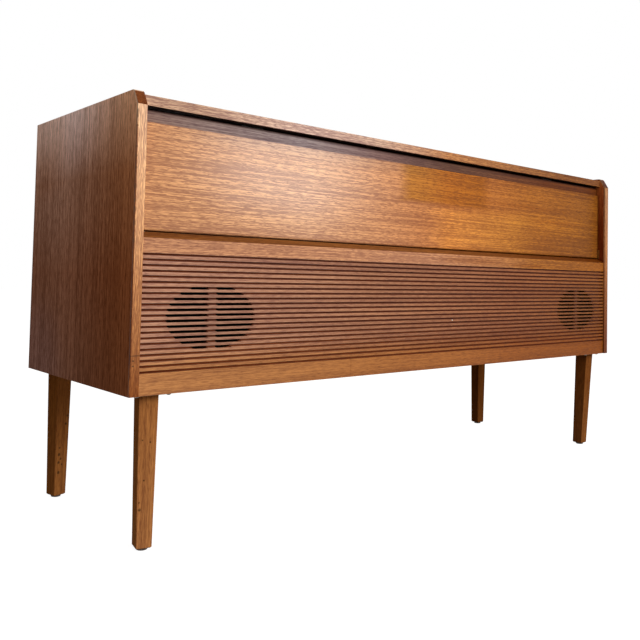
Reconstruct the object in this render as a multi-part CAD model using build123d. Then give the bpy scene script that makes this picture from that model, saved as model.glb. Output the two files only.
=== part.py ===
from build123d import *
import math
import os

# A long, low radiogram: a teak cabinet on four tapered legs, with a fall-front flap over the
# tuner, the record deck and a bay for singles, and two speakers behind a grooved front board.
# Millimetres. X runs along the front, Y from front to back, Z up. The origin is on the floor,
# under the middle of the cabinet.

# Cabinet carcase
width = 1370.0
depth = 412.0
body_height = 460.0
panel = 16.0
lipping = 4.0
corner_run = 14.0
corner_drop = 24.0
corner_round = 8.0
top_drop = 5.0
top_inset = 14.5
front_inset = 3.5
back_inset = 8.0
back_thickness = 4.0
back_rebate = 8.0
divider = 12.0
edge_round = 0.8

# Grooved front board and its speaker ovals
front_height = 237.0
board_thickness = 12.0
groove_count = 22
groove_pitch = 8.45
groove_height = 2.6
groove_depth = 4.5
groove_web = 4.0
bottom_margin = 35.35
oval_inset = 144.0
oval_half_width = 83.2
oval_half_height = 52.7
oval_first_groove = 6
oval_groove_count = 12
slot_height = 4.0
rib_width = 16.0

# Fall-front flap, its sill, pivots, stays and catches
flap_inset = 19.0
flap_thickness = 16.0
flap_gap_top = 4.0
flap_gap_side = 3.0
flap_gap_bottom = 2.0
flap_edge_round = 4.0
pull_height = 20.0
pull_setback = 3.0
sill_rise = 9.5
sill_lap = 6.0
floor_drop = 16.0
pivot_radius = 3.0
pivot_grip = 20.0
pivot_reach = 12.0
pivot_plate = 24.0
pivot_plate_thickness = 2.0
stay_radius = 120.0
stay_width = 8.0
stay_thickness = 2.0
stay_side_gap = 12.0
stay_foot = 16.0
stay_foot_height = 30.0
stay_lug_width = 14.0
stay_lug_length = 4.0
guide_setback = 1.5
guide_thickness = 5.0
guide_height = 24.0
flap_open_angle = 90.0
catch_offset = 450.0
catch_length = 45.0
catch_depth = 12.0
catch_height = 14.0
strike_thickness = 1.0
strike_height = 10.0

# Legs
leg_length = 233.5
leg_top_width = 31.0
leg_foot_width = 25.0
leg_left_inset = 50.0
leg_right_inset = 44.0
leg_front_inset = 40.5
leg_back_inset = 28.5
leg_edge_round = 1.5
leg_foot_chamfer = 1.5
leg_turns = {"front_left": -13.0, "back_left": 13.0, "front_right": 0.0, "back_right": -4.5}
leg_leans = {"front_left": 0.0, "back_left": 0.0, "front_right": 11.5, "back_right": 0.0}
plate_width = 62.0
plate_thickness = 2.5
plate_screw_margin = 4.0
plate_corner = 4.0
bolt_radius = 4.0
bolt_grip = 22.0
glide_radius = 9.0
glide_height = 4.0
glide_round = 1.3

# Fasteners
screw_radius = 1.75
screw_head_radius = 3.6
screw_head_height = 2.2
long_screw = 14.0
short_screw = 9.0
back_screw_columns = 7
back_screw_margin = 33.5
speaker_screw_angle = 45.0

# Speakers
speaker_half_width = 101.5
speaker_half_height = 63.5
speaker_flange = 2.0
speaker_depth = 44.0
speaker_shell = 1.5
basket_margin = 9.0
basket_neck = 34.0
basket_hoop = 8.0
basket_window_width = 64.0
basket_window_height = 42.0
magnet_radius = 32.0
magnet_depth = 20.0
magnet_round = 2.0
cone_margin = 13.0
cone_depth = 26.0
cone_neck = 13.0
cone_shell = 0.9
cloth_thickness = 0.8
cloth_margin = 4.0

# Bays behind the flap
radio_bay = 500.0
deck_bay = 450.0

# Tuner
tuner_side_gap = 30.0
tuner_partition_gap = 6.0
fascia_setback = 51.0
fascia_thickness = 3.0
fascia_height = 150.0
window_width = 250.0
window_height = 62.0
window_rise = 92.0
glass_lap = 5.0
glass_thickness = 3.0
dial_gap = 8.0
dial_plate_thickness = 1.5
chassis_plate = 2.0
chassis_deck_rise = 50.0
chassis_depth = 165.0
chassis_plate_height = 146.0
rail_radius = 1.5
rail_rise = 40.0
rail_overhang = 12.0
rail_lug = 7.0
pointer_width = 1.4
pointer_thickness = 1.0
pointer_length = 62.0
carriage_length = 10.0
carriage_height = 8.0
carriage_depth = 6.0
spindle_radius = 3.0
tuning_offset = 180.0
tuning_rise = 80.0
tuning_knob_radius = 26.0
tuning_knob_length = 18.0
knob_gap = 2.0
knob_round = 2.0
knob_bore_depth = 9.0
skirt_overhang = 3.0
skirt_length = 3.5
pulley_radius = 11.5
pulley_width = 5.0
small_knob_radius = 17.0
small_knob_length = 15.0
volume_rise = 100.0
tone_rise = 34.0
spacer_radius = 5.5
spacer_inset = 11.0
pot_radius = 12.0
pot_length = 14.0
button_width = 26.0
button_height = 12.0
button_length = 15.0
button_pitch = 40.0
button_rise = 30.0
button_travel = 5.0
button_stem = 6.0
button_names = ["gram", "long", "medium", "short"]
transformer_size = (74.0, 62.0, 66.0)
transformer_core = 34.0
transformer_coil_width = 49.0
transformer_coil_height = 53.0
transformer_round = 4.0
valve_radius = 11.0
valve_height = 52.0
valve_base_radius = 12.0
valve_base_height = 9.0
valve_dome = 7.7
valve_setback = 91.0
valve_pitch = 46.0
valve_count = 5

# Record deck
deck_width = 340.0
deck_depth = 300.0
deck_height = 16.0
deck_plate_thickness = 2.0
deck_corner = 14.0
deck_centre_y = 14.0
deck_rest = 12.0
platter_overhang = 3.0
platter_radius = 125.0
platter_thickness = 10.0
platter_round = 2.0
platter_lift = 6.0
mat_margin = 3.0
mat_thickness = 3.0
mat_groove_count = 5
mat_groove_width = 3.0
mat_groove_depth = 1.2
deck_spindle_radius = 3.6
deck_spindle_height = 112.0
deck_spindle_round = 2.2
shaft_reach = 6.0
bearing_radius = 12.0
arm_margin_x = 40.0
arm_margin_y = 45.0
arm_length = 206.0
arm_tube_radius = 5.0
arm_pillar_radius = 13.0
arm_yoke_radius = 9.0
arm_height = 36.0
arm_tail = 42.0
arm_weight_radius = 12.0
head_width = 16.0
head_length = 40.0
head_height = 18.0
head_round = 3.2
arm_shaft_radius = 4.0
overarm_margin_x = 88.0
overarm_margin_y = 22.0
overarm_post_radius = 5.0
overarm_height = 118.0
overarm_radius = 4.0
overarm_cup_radius = 11.0
overarm_cup_drop = 4.8
overarm_cup_rise = 5.6
overarm_cap = 7.5
overarm_collar_radius = 9.0
overarm_collar_height = 5.0
lever_margin_x = 30.0
lever_margin_y = 28.0
lever_disc_radius = 12.0
lever_length = 24.0
lever_height = 10.0
lever_blade_height = 6.5
lever_round = 1.5
motor_radius = 32.0
motor_height = 45.0
motor_round = 4.0
motor_gap = 8.0
motor_offset_y = 56.0

# Back panel vents and mains inlet
vent_width = 6.0
vent_length = 60.0
vent_pitch = 16.0
vent_count = 14
inlet_width = 34.0
inlet_height = 24.0
inlet_flange = 5.0
inlet_flange_thickness = 2.0
inlet_depth = 18.0
inlet_wall = 2.5
inlet_floor = 5.0
inlet_pin_offset = 8.5
inlet_rise = 60.0
inlet_offset = 300.0
inlet_pin_radius = 2.0

# Clearances
running = 0.05
loose = 0.3
button_clearance = 0.4

# Places worked out from the sizes above
front_y = -depth / 2
back_y = depth / 2
side_x = width / 2 - panel
base_z = glide_height + leg_length + plate_thickness
top_z = base_z + body_height
ceiling_z = top_z - top_drop - panel
board_y = front_y + front_inset
board_back = board_y + board_thickness
first_groove = base_z + bottom_margin + (groove_count - 1) * groove_pitch
board_top = first_groove + groove_height / 2
back_panel_y = back_y - back_inset - back_thickness
flap_face = front_y + flap_inset
flap_back = flap_face + flap_thickness
sill_z = base_z + front_height + sill_rise
flap_bottom = sill_z + flap_gap_bottom
flap_top = ceiling_z - flap_gap_top
pull_bottom = flap_top - pull_height
flap_end = side_x - flap_gap_side
pivot_y = flap_face + flap_thickness / 2
pivot_z = flap_bottom + flap_thickness / 2
sill_back = flap_back + sill_lap
floor_z = sill_z - floor_drop
stay_x = side_x - stay_side_gap
guide_y = flap_back + stay_thickness + guide_setback
oval_z = first_groove - (oval_first_groove + (oval_groove_count - 1) / 2) * groove_pitch
oval_x = width / 2 - oval_inset
left_partition_x = -side_x + radio_bay
deck_bay_x = left_partition_x + divider
right_partition_x = deck_bay_x + deck_bay

fascia_y = flap_back + fascia_setback
fascia_back = fascia_y + fascia_thickness
glass_back = fascia_back + glass_thickness
dial_y = glass_back + dial_gap
chassis_y = dial_y + dial_plate_thickness
chassis_front_back = chassis_y + chassis_plate
tuner_x0 = -side_x + tuner_side_gap
tuner_x1 = left_partition_x - tuner_partition_gap
tuner_x = (tuner_x0 + tuner_x1) / 2
window_z = floor_z + window_rise
rail_y = (glass_back + dial_y) / 2
rail_z = window_z + rail_rise

deck_x = deck_bay_x + deck_bay / 2
deck_left = deck_x - deck_width / 2
deck_right = deck_x + deck_width / 2
deck_front = deck_centre_y - deck_depth / 2
deck_back = deck_centre_y + deck_depth / 2
deck_top = floor_z + deck_height
platter_x = deck_left - platter_overhang + platter_radius
platter_y = deck_centre_y
platter_z = deck_top + platter_lift
mat_z = platter_z + platter_thickness
arm_x = deck_right - arm_margin_x
arm_y = deck_back - arm_margin_y
arm_z = deck_top + arm_height
overarm_x = deck_right - overarm_margin_x
overarm_y = deck_back - overarm_margin_y
lever_x = deck_left + lever_margin_x
lever_y = deck_front + lever_margin_y
motor_x = deck_left + deck_rest + motor_gap + motor_radius
motor_y = platter_y + motor_offset_y
inlet_x = inlet_offset
inlet_z = base_z + inlet_rise
rail_length = window_width + 2 * (glass_lap + rail_overhang)
tuning_x = tuner_x + tuning_offset
tuning_z = floor_z + tuning_rise
small_knob_x = tuner_x - tuning_offset
volume_z = floor_z + volume_rise
tone_z = floor_z + tone_rise
button_z = floor_z + button_rise

leg_places = {
    "front_left": (-width / 2 + leg_left_inset, front_y + leg_front_inset),
    "front_right": (width / 2 - leg_right_inset, front_y + leg_front_inset),
    "back_left": (-width / 2 + leg_left_inset, back_y - leg_back_inset),
    "back_right": (width / 2 - leg_right_inset, back_y - leg_back_inset),
}


def block(x0, x1, y0, y1, z0, z1):
    """A box between two corners."""
    centre = Location(((x0 + x1) / 2, (y0 + y1) / 2, (z0 + z1) / 2))
    return centre * Box(x1 - x0, y1 - y0, z1 - z0)


def post(x, y, z0, z1, radius):
    """A cylinder standing along Z."""
    return Location((x, y, (z0 + z1) / 2)) * Cylinder(radius, z1 - z0)


def rod_y(x, z, y0, y1, radius):
    """A cylinder lying along Y."""
    return Location((x, (y0 + y1) / 2, z), (90, 0, 0)) * Cylinder(radius, y1 - y0)


def rod_x(y, z, x0, x1, radius):
    """A cylinder lying along X."""
    return Location(((x0 + x1) / 2, y, z), (0, 90, 0)) * Cylinder(radius, x1 - x0)


def oval_block(x, z, half_x, half_z, y0, y1):
    """An elliptical plug through the thickness of a front board."""
    sketch = Plane.XZ.offset(-y0) * Location((x, z)) * Ellipse(half_x, half_z)
    return extrude(sketch, -(y1 - y0))


def profile_x(points, x0, x1):
    """A section drawn in Y and Z and run along X."""
    outline = make_face(Polyline(*[(x0, y, z) for y, z in points], close=True))
    return extrude(outline, x1 - x0, dir=(1, 0, 0))


def button_x(name):
    """The middle of a push button in its row under the dial."""
    return tuner_x + (button_names.index(name) - (len(button_names) - 1) / 2) * button_pitch


def both_sides(shape):
    """A piece and its mirror image across the middle of the cabinet."""
    return [shape, mirror(shape, about=Plane.YZ)]


def screw_y(x, z, head_y, length, inward):
    """A round-head wood screw whose head lies on a plane facing along Y."""
    head = rod_y(x, z, *sorted((head_y, head_y - inward * screw_head_height)), screw_head_radius)
    shank = rod_y(x, z, *sorted((head_y, head_y + inward * length)), screw_radius)
    return head + shank


def screw_z(x, y, head_z, length):
    """A round-head wood screw driven upwards."""
    head = post(x, y, head_z - screw_head_height, head_z, screw_head_radius)
    return head + post(x, y, head_z, head_z + length, screw_radius)


# Fasteners and the holes that they fill

def plate_middle(x, y):
    """The middle of a leg's plate, kept within the base board."""
    half = plate_width / 2
    reach = side_x - half
    return max(-reach, min(reach, x)), max(board_back + half, min(back_panel_y - half, y))


def leg_screw_places():
    reach = plate_width / 2 - plate_screw_margin
    places = []
    for place in leg_places.values():
        x, y = plate_middle(*place)
        for sx in (-1, 1):
            for sy in (-1, 1):
                places.append((x + sx * reach, y + sy * reach))
    return places


def back_screw_places():
    low = base_z + panel / 2
    high = ceiling_z + back_rebate / 2
    reach = side_x - back_screw_margin
    pitch = 2 * reach / (back_screw_columns - 1)
    return [(k * pitch - reach, z) for k in range(back_screw_columns) for z in (low, high)]


def speaker_screw_places(x):
    angle = math.radians(speaker_screw_angle)
    dx = (speaker_half_width - basket_margin / 2) * math.cos(angle)
    dz = (speaker_half_height - basket_margin / 2) * math.sin(angle)
    return [(x + sx * dx, oval_z + sz * dz) for sx in (-1, 1) for sz in (-1, 1)]


speaker_seat = board_back + cloth_thickness
speaker_screw_seat = speaker_seat + speaker_flange
back_screw_seat = back_panel_y + back_thickness

leg_screws = [screw_z(x, y, base_z - plate_thickness, long_screw) for x, y in leg_screw_places()]
back_screws = [screw_y(x, z, back_screw_seat, long_screw, -1) for x, z in back_screw_places()]
speaker_screws = [
    screw_y(x, z, speaker_screw_seat, short_screw, -1)
    for side in (-oval_x, oval_x)
    for x, z in speaker_screw_places(side)
]

# Cabinet carcase


def side_blank(x0):
    outline = [
        (front_y, base_z),
        (back_y, base_z),
        (back_y, top_z),
        (front_y + corner_run, top_z),
        (front_y, top_z - corner_drop),
    ]
    blank = profile_x(outline, x0, x0 + panel)
    ridge = blank.edges().filter_by(Axis.X).group_by(Axis.Z)[-1].sort_by(Axis.Y)[0]
    return fillet(ridge, corner_round)


def side_and_lipping(x0, inner_x):
    blank = side_blank(x0)
    shifted = Location((0, lipping, 0)) * blank
    strip = blank - shifted
    front_edges = strip.edges().filter_by(Axis.Z).group_by(Axis.Y)[0]
    strip = fillet(front_edges, edge_round)
    core = blank & shifted
    outward = pivot_reach - flap_gap_side + loose
    reach = sorted((inner_x, inner_x + math.copysign(outward, inner_x)))
    core -= rod_x(pivot_y, pivot_z, *reach, pivot_radius + loose)
    return core, strip


def top_board():
    board = block(-side_x, side_x, front_y + top_inset, back_y, ceiling_z, ceiling_z + panel)
    board = fillet(board.edges().filter_by(Axis.X).group_by(Axis.Y)[0], edge_round)
    rebate = block(-side_x, side_x, back_panel_y, back_y, ceiling_z, ceiling_z + back_rebate)
    return board - [rebate] - back_screws


def base_board():
    board = block(-side_x, side_x, board_back, back_panel_y, base_z, base_z + panel)
    bolt_holes = [post(x, y, base_z, base_z + panel, bolt_radius + loose)
                  for x, y in leg_places.values()]
    return board - bolt_holes - back_screws - leg_screws


def front_board():
    board = block(-side_x, side_x, board_y, board_back, base_z, board_top)
    for x in (-oval_x, oval_x):
        pocket = oval_block(x, oval_z, oval_half_width, oval_half_height,
                            board_y + groove_web, board_back)
        pocket -= block(x - rib_width / 2, x + rib_width / 2, board_y, board_back, base_z, board_top)
        board -= pocket
    cuts = []
    for row in range(groove_count):
        top = first_groove - row * groove_pitch + groove_height / 2
        cuts.append(block(-side_x, side_x, board_y, board_y + groove_depth,
                          top - groove_height, top))
        if 0 <= row - oval_first_groove < oval_groove_count:
            cuts += speaker_slots(top)
    return board - cuts - speaker_screws


def speaker_slots(top):
    """One row of the slots: a pair beside the rib of each oval."""
    middle = top - slot_height / 2 - oval_z
    reach = oval_half_width * math.sqrt(1 - (middle / oval_half_height) ** 2)
    slots = []
    for x in (-oval_x, oval_x):
        for side in (-1, 1):
            ends = sorted((x + side * rib_width / 2, x + side * reach))
            slots.append(block(*ends, board_y, board_y + groove_depth, top - slot_height, top))
    return slots


def sill():
    section = [
        (board_y, board_top),
        (board_y, base_z + front_height),
        (flap_face, sill_z),
        (sill_back, sill_z),
        (sill_back, board_top),
    ]
    return profile_x(section, -side_x, side_x)


def compartment_floor():
    board = block(-side_x, side_x, sill_back, back_panel_y, floor_z - divider, floor_z)
    board -= block(deck_left + deck_rest, deck_right - deck_rest, deck_front + deck_rest,
                   deck_back - deck_rest, floor_z - divider, floor_z)
    return board


def partition(x0):
    front = sill_back + edge_round
    return block(x0, x0 + divider, front, back_panel_y, floor_z, ceiling_z)


def vent_slot(x, z):
    sketch = Plane.XZ.offset(-back_panel_y) * Location((x, z), (0, 0, 90)) * SlotOverall(
        vent_length, vent_width)
    return extrude(sketch, -back_thickness)


def back_board():
    board = block(-side_x, side_x, back_panel_y, back_panel_y + back_thickness,
                  base_z, ceiling_z + back_rebate)
    groups = [
        (tuner_x, floor_z + chassis_deck_rise + vent_length),
        (-oval_x, oval_z),
        (oval_x, oval_z),
    ]
    holes = [block(inlet_x - inlet_width / 2, inlet_x + inlet_width / 2,
                   back_panel_y, back_panel_y + back_thickness,
                   inlet_z - inlet_height / 2, inlet_z + inlet_height / 2)]
    for centre_x, centre_z in groups:
        for k in range(vent_count):
            x = centre_x + (k - (vent_count - 1) / 2) * vent_pitch
            holes.append(vent_slot(x, centre_z))
    return board - holes - back_screws


def mains_inlet():
    inner_face = back_panel_y - inlet_depth
    outer_face = back_panel_y + back_thickness
    half_x = inlet_width / 2
    half_z = inlet_height / 2
    shell = block(inlet_x - half_x, inlet_x + half_x, inner_face, outer_face,
                  inlet_z - half_z, inlet_z + half_z)
    shell += block(inlet_x - half_x - inlet_flange, inlet_x + half_x + inlet_flange,
                   outer_face, outer_face + inlet_flange_thickness,
                   inlet_z - half_z - inlet_flange, inlet_z + half_z + inlet_flange)
    wall = inlet_wall
    socket_floor = inner_face + inlet_floor
    shell -= block(inlet_x - half_x + wall, inlet_x + half_x - wall,
                   socket_floor, outer_face + inlet_flange_thickness,
                   inlet_z - half_z + wall, inlet_z + half_z - wall)
    for side in (-1, 1):
        shell += rod_y(inlet_x + side * inlet_pin_offset, inlet_z, socket_floor, outer_face,
                       inlet_pin_radius)
    return shell


# Flap with its pull, pivots, stays and catches


def flap_panel():
    board = block(-flap_end, flap_end, flap_face, flap_back, flap_bottom, pull_bottom)
    bottom = board.edges().filter_by(Axis.X).group_by(Axis.Z)[0]
    board = fillet(bottom, flap_edge_round)
    for side in (-1, 1):
        ends = sorted((side * (flap_end - pivot_grip), side * flap_end))
        board -= rod_x(pivot_y, pivot_z, *ends, pivot_radius)
    return board


def flap_pull():
    rail = block(-flap_end, flap_end, flap_face + pull_setback, flap_back, pull_bottom, flap_top)
    top_front = rail.edges().filter_by(Axis.X).group_by(Axis.Z)[-1].sort_by(Axis.Y)[0]
    return fillet(top_front, pull_setback)


def flap_pivot():
    start = flap_end - pivot_grip
    return rod_x(pivot_y, pivot_z, start, side_x + pivot_reach - flap_gap_side, pivot_radius)


def pivot_plate_piece():
    half = pivot_plate / 2
    plate = block(side_x - pivot_plate_thickness, side_x, pivot_y - half, pivot_y + half,
                  sill_z + edge_round, sill_z + edge_round + pivot_plate)
    return plate - rod_x(pivot_y, pivot_z, side_x - pivot_plate_thickness, side_x,
                         pivot_radius + running)


def polar(radius, angle):
    """A point in Y and Z about the flap's pivot, where 0 points back and 90 points up."""
    turn = math.radians(angle)
    return pivot_y + radius * math.cos(turn), pivot_z + radius * math.sin(turn)


def ring(inner, outer, x0, x1):
    """A ring about the flap's pivot."""
    return rod_x(pivot_y, pivot_z, x0, x1, outer) - rod_x(pivot_y, pivot_z, x0, x1, inner)


def ring_sector(inner, outer, start, end, x0, x1):
    """A slice of a ring about the flap's pivot."""
    middle = (start + end) / 2
    far = outer * 2
    wedge = [(pivot_y, pivot_z), polar(far, start), polar(far, middle), polar(far, end)]
    return ring(inner, outer, x0, x1) & profile_x(wedge, x0, x1)


stay_inner = stay_radius - stay_width / 2
stay_outer = stay_radius + stay_width / 2
lug_inner = stay_radius - stay_lug_width / 2
lug_outer = stay_radius + stay_lug_width / 2
guide_back = guide_y + guide_thickness
stop_angle = math.degrees(math.acos((guide_back - pivot_y + loose) / lug_inner))
lug_start = stop_angle - flap_open_angle
lug_end = lug_start - math.degrees(stay_lug_length / stay_radius)


def flap_stay():
    """A quadrant that runs through its guide as the flap falls, with a lug that stops it."""
    x0 = stay_x - stay_thickness / 2
    x1 = stay_x + stay_thickness / 2
    arc = ring_sector(stay_inner, stay_outer, lug_start, 90, x0, x1)
    arc -= block(x0, x1, pivot_y - stay_outer, flap_back, pivot_z, pivot_z + stay_outer)
    lug = ring_sector(lug_inner, lug_outer, lug_end, lug_start, x0, x1)
    foot = block(x1 - stay_foot, x1, flap_back, flap_back + stay_thickness,
                 pivot_z + stay_radius - stay_foot_height / 2,
                 pivot_z + stay_radius + stay_foot_height / 2)
    return arc + lug + foot


def stay_guide():
    low = pivot_z + stay_radius - guide_height / 2
    guide = block(stay_x - stay_side_gap / 2, side_x, guide_y, guide_back, low, low + guide_height)
    half = stay_thickness / 2 + loose
    return guide - ring(stay_inner - loose, stay_outer + loose, stay_x - half, stay_x + half)


def magnetic_catch():
    y0 = flap_back + strike_thickness + loose
    return block(catch_offset - catch_length / 2, catch_offset + catch_length / 2,
                 y0, y0 + catch_depth, ceiling_z - catch_height, ceiling_z)


def strike():
    top = flap_top - edge_round
    return block(catch_offset - catch_length / 2, catch_offset + catch_length / 2,
                 flap_back, flap_back + strike_thickness, top - strike_height, top)


# Legs


def leg_section(size, z, lean=0.0):
    return Plane(origin=(0, lean, z)) * RectangleRounded(size, size, leg_edge_round)


def leg(name):
    x, y = leg_places[name]
    lean = leg_leans[name]
    top = base_z - plate_thickness
    ankle = glide_height + leg_foot_chamfer
    foot_width = leg_foot_width - 2 * leg_foot_chamfer
    wood = loft([leg_section(leg_foot_width, ankle, lean).face(),
                 leg_section(leg_top_width, top).face()])
    wood += loft([leg_section(foot_width, glide_height, lean).face(),
                  leg_section(leg_foot_width, ankle, lean).face()])
    wood -= post(0, 0, top - bolt_grip, top, bolt_radius)
    return Location((x, y, 0), (0, 0, leg_turns[name])) * wood


def leg_plate(x, y):
    low = base_z - plate_thickness
    middle_x, middle_y = plate_middle(x, y)
    half = plate_width / 2
    plate = block(middle_x - half, middle_x + half, middle_y - half, middle_y + half, low, base_z)
    corners = plate.edges().filter_by(Axis.Z)
    return fillet(corners, plate_corner) - post(x, y, low, base_z, bolt_radius) - leg_screws


def leg_bolt(x, y):
    low = base_z - plate_thickness
    return post(x, y, low - bolt_grip, base_z + panel / 2, bolt_radius)


def leg_glide(name):
    x, y = leg_places[name]
    glide = post(x, y + leg_leans[name], 0, glide_height, glide_radius)
    return fillet(glide.edges().group_by(Axis.Z)[0], glide_round)


# Speakers


def oval_face(x, y, half_x, half_z):
    return Plane.XZ.offset(-y) * Location((x, oval_z)) * Ellipse(half_x, half_z)


def round_face(x, y, radius):
    return Plane.XZ.offset(-y) * Location((x, oval_z)) * Circle(radius)


def tapered_shell(x, y0, y1, half_x, half_z, neck, wall):
    """A shell that runs from an oval mouth to a round neck."""
    outer = loft([oval_face(x, y0, half_x, half_z).face(), round_face(x, y1, neck).face()])
    inner = loft([oval_face(x, y0, half_x - wall, half_z - wall).face(),
                  round_face(x, y1, neck - wall).face()])
    return outer - inner


def speaker_basket(x):
    y0 = speaker_seat
    flange = oval_block(x, oval_z, speaker_half_width, speaker_half_height, y0,
                        y0 + speaker_flange)
    mouth_x = speaker_half_width - basket_margin
    mouth_z = speaker_half_height - basket_margin
    flange -= oval_block(x, oval_z, mouth_x - speaker_shell, mouth_z - speaker_shell, y0,
                         y0 + speaker_flange)
    shell = tapered_shell(x, y0 + speaker_flange, y0 + speaker_depth, mouth_x, mouth_z,
                          basket_neck, speaker_shell)
    window_y = (y0 + speaker_flange + basket_hoop, y0 + speaker_depth - basket_hoop)
    for side in (-1, 1):
        beside = sorted((x + side * 2 * basket_neck, x + side * speaker_half_width))
        above = sorted((oval_z + side * basket_neck, oval_z + side * speaker_half_height))
        shell -= block(*beside, *window_y, oval_z - basket_window_height / 2,
                       oval_z + basket_window_height / 2)
        shell -= block(x - basket_window_width / 2, x + basket_window_width / 2, *window_y, *above)
    end_y = y0 + speaker_depth - speaker_flange
    end = rod_y(x, oval_z, end_y, y0 + speaker_depth, basket_neck)
    end -= rod_y(x, oval_z, end_y, y0 + speaker_depth, cone_neck)
    return flange + shell + end - speaker_screws


def speaker_cone(x):
    y0 = speaker_seat
    half_x = speaker_half_width - cone_margin
    half_z = speaker_half_height - cone_margin
    mouth = basket_margin + speaker_shell
    rim = oval_block(x, oval_z, speaker_half_width - mouth, speaker_half_height - mouth, y0,
                     y0 + cone_shell)
    rim -= oval_block(x, oval_z, half_x - cone_shell, half_z - cone_shell, y0, y0 + cone_shell)
    cone = tapered_shell(x, y0 + cone_shell, y0 + cone_depth, half_x, half_z, cone_neck,
                         cone_shell)
    cap = rod_y(x, oval_z, y0 + cone_depth - cone_shell, y0 + cone_depth, cone_neck)
    coil = rod_y(x, oval_z, y0 + cone_depth, y0 + speaker_depth - speaker_flange,
                 cone_neck - cone_shell)
    return rim + cone + cap + coil


def speaker_magnet(x):
    y0 = speaker_seat + speaker_depth
    magnet = rod_y(x, oval_z, y0, y0 + magnet_depth, magnet_radius)
    return fillet(magnet.edges().sort_by(Axis.Y)[-1], magnet_round)


def speaker_cloth(x):
    cloth = oval_block(x, oval_z, speaker_half_width + cloth_margin,
                       speaker_half_height + cloth_margin, board_back, speaker_seat)
    return cloth - speaker_screws


# Tuner


def spindle_plugs():
    """What the knobs' spindles need cut from the fascia and the chassis."""
    plugs = []
    for x, z in ((tuning_x, tuning_z), (small_knob_x, volume_z), (small_knob_x, tone_z)):
        plugs.append(rod_y(x, z, fascia_y, chassis_front_back, spindle_radius + running))
    return plugs


def tuner_fascia():
    panel_piece = block(tuner_x0, tuner_x1, fascia_y, fascia_back, floor_z,
                        floor_z + fascia_height)
    holes = [block(tuner_x - window_width / 2, tuner_x + window_width / 2, fascia_y, fascia_back,
                   window_z - window_height / 2, window_z + window_height / 2)]
    for name in button_names:
        x = button_x(name)
        holes.append(block(x - button_width / 2 - button_clearance,
                           x + button_width / 2 + button_clearance, fascia_y, fascia_back,
                           button_z - button_height / 2 - button_clearance,
                           button_z + button_height / 2 + button_clearance))
    for x in (tuner_x0 + spacer_inset, tuner_x1 - spacer_inset):
        for z in (floor_z + spacer_inset, floor_z + chassis_plate_height - spacer_inset):
            panel_piece += rod_y(x, z, fascia_back, chassis_y, spacer_radius)
    return panel_piece - holes - spindle_plugs()


def dial_glass():
    half_x = window_width / 2 + glass_lap
    half_z = window_height / 2 + glass_lap
    return block(tuner_x - half_x, tuner_x + half_x, fascia_back, glass_back,
                 window_z - half_z, window_z + half_z)


def dial_plate():
    half_x = window_width / 2 + glass_lap
    half_z = window_height / 2 + glass_lap
    return block(tuner_x - half_x, tuner_x + half_x, dial_y, chassis_y,
                 window_z - half_z, window_z + half_z)


def tuner_chassis():
    wall = chassis_plate
    deck_z = floor_z + chassis_deck_rise
    end_y = chassis_y + chassis_depth
    shape = block(tuner_x0, tuner_x1, chassis_y, chassis_y + wall, floor_z,
                  floor_z + chassis_plate_height)
    shape += block(tuner_x0, tuner_x1, chassis_y, end_y, deck_z - wall, deck_z)
    shape += block(tuner_x0, tuner_x1, end_y - wall, end_y, floor_z, deck_z)
    for x in (tuner_x0, tuner_x1 - wall):
        shape += block(x, x + wall, chassis_y, end_y, floor_z, deck_z)
    for side in (-1, 1):
        x = tuner_x + side * (rail_length / 2 - rail_lug / 2)
        lug = block(x - rail_lug / 2, x + rail_lug / 2, rail_y - rail_lug / 2, chassis_y,
                    rail_z - rail_lug / 2, rail_z + rail_lug / 2)
        shape += lug
    shape -= rod_x(rail_y, rail_z, tuner_x - rail_length / 2, tuner_x + rail_length / 2,
                   rail_radius)
    half = button_stem / 2 + button_clearance
    holes = [block(button_x(name) - half, button_x(name) + half, chassis_y, chassis_front_back,
                   button_z - half, button_z + half) for name in button_names]
    return shape - holes - spindle_plugs()


def dial_pointer():
    strip = block(tuner_x - pointer_width / 2, tuner_x + pointer_width / 2,
                  rail_y - pointer_thickness / 2, rail_y + pointer_thickness / 2,
                  rail_z - carriage_height / 2 - pointer_length, rail_z)
    carriage = block(tuner_x - carriage_length / 2, tuner_x + carriage_length / 2,
                     rail_y - carriage_depth / 2, rail_y + carriage_depth / 2,
                     rail_z - carriage_height / 2, rail_z + carriage_height / 2)
    pointer = strip + carriage
    return pointer - rod_x(rail_y, rail_z, tuner_x - carriage_length, tuner_x + carriage_length,
                           rail_radius + running)


def knob(x, z, radius, length):
    """A turned knob with a raised skirt and a bored back."""
    back = fascia_y - knob_gap
    body = rod_y(x, z, back - length, back, radius - skirt_overhang)
    body = fillet(body.edges().sort_by(Axis.Y)[0], knob_round)
    body += rod_y(x, z, back - skirt_length, back, radius)
    return body - rod_y(x, z, back - knob_bore_depth, back, spindle_radius)


def tuning_spindle():
    back = fascia_y - knob_gap
    pulley_y = chassis_front_back + knob_gap
    rod = rod_y(tuning_x, tuning_z, back - knob_bore_depth, pulley_y + pulley_width,
                spindle_radius)
    return rod + rod_y(tuning_x, tuning_z, pulley_y, pulley_y + pulley_width, pulley_radius)


def small_knob(z):
    """A knob with its own spindle, which runs into a potentiometer."""
    piece = knob(small_knob_x, z, small_knob_radius, small_knob_length)
    back = fascia_y - knob_gap
    return piece + rod_y(small_knob_x, z, back - knob_bore_depth,
                         chassis_front_back + pot_length / 2, spindle_radius)


def potentiometer(z):
    can = rod_y(small_knob_x, z, chassis_front_back, chassis_front_back + pot_length, pot_radius)
    return can - rod_y(small_knob_x, z, chassis_front_back,
                       chassis_front_back + pot_length / 2 + loose, spindle_radius + running)


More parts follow.
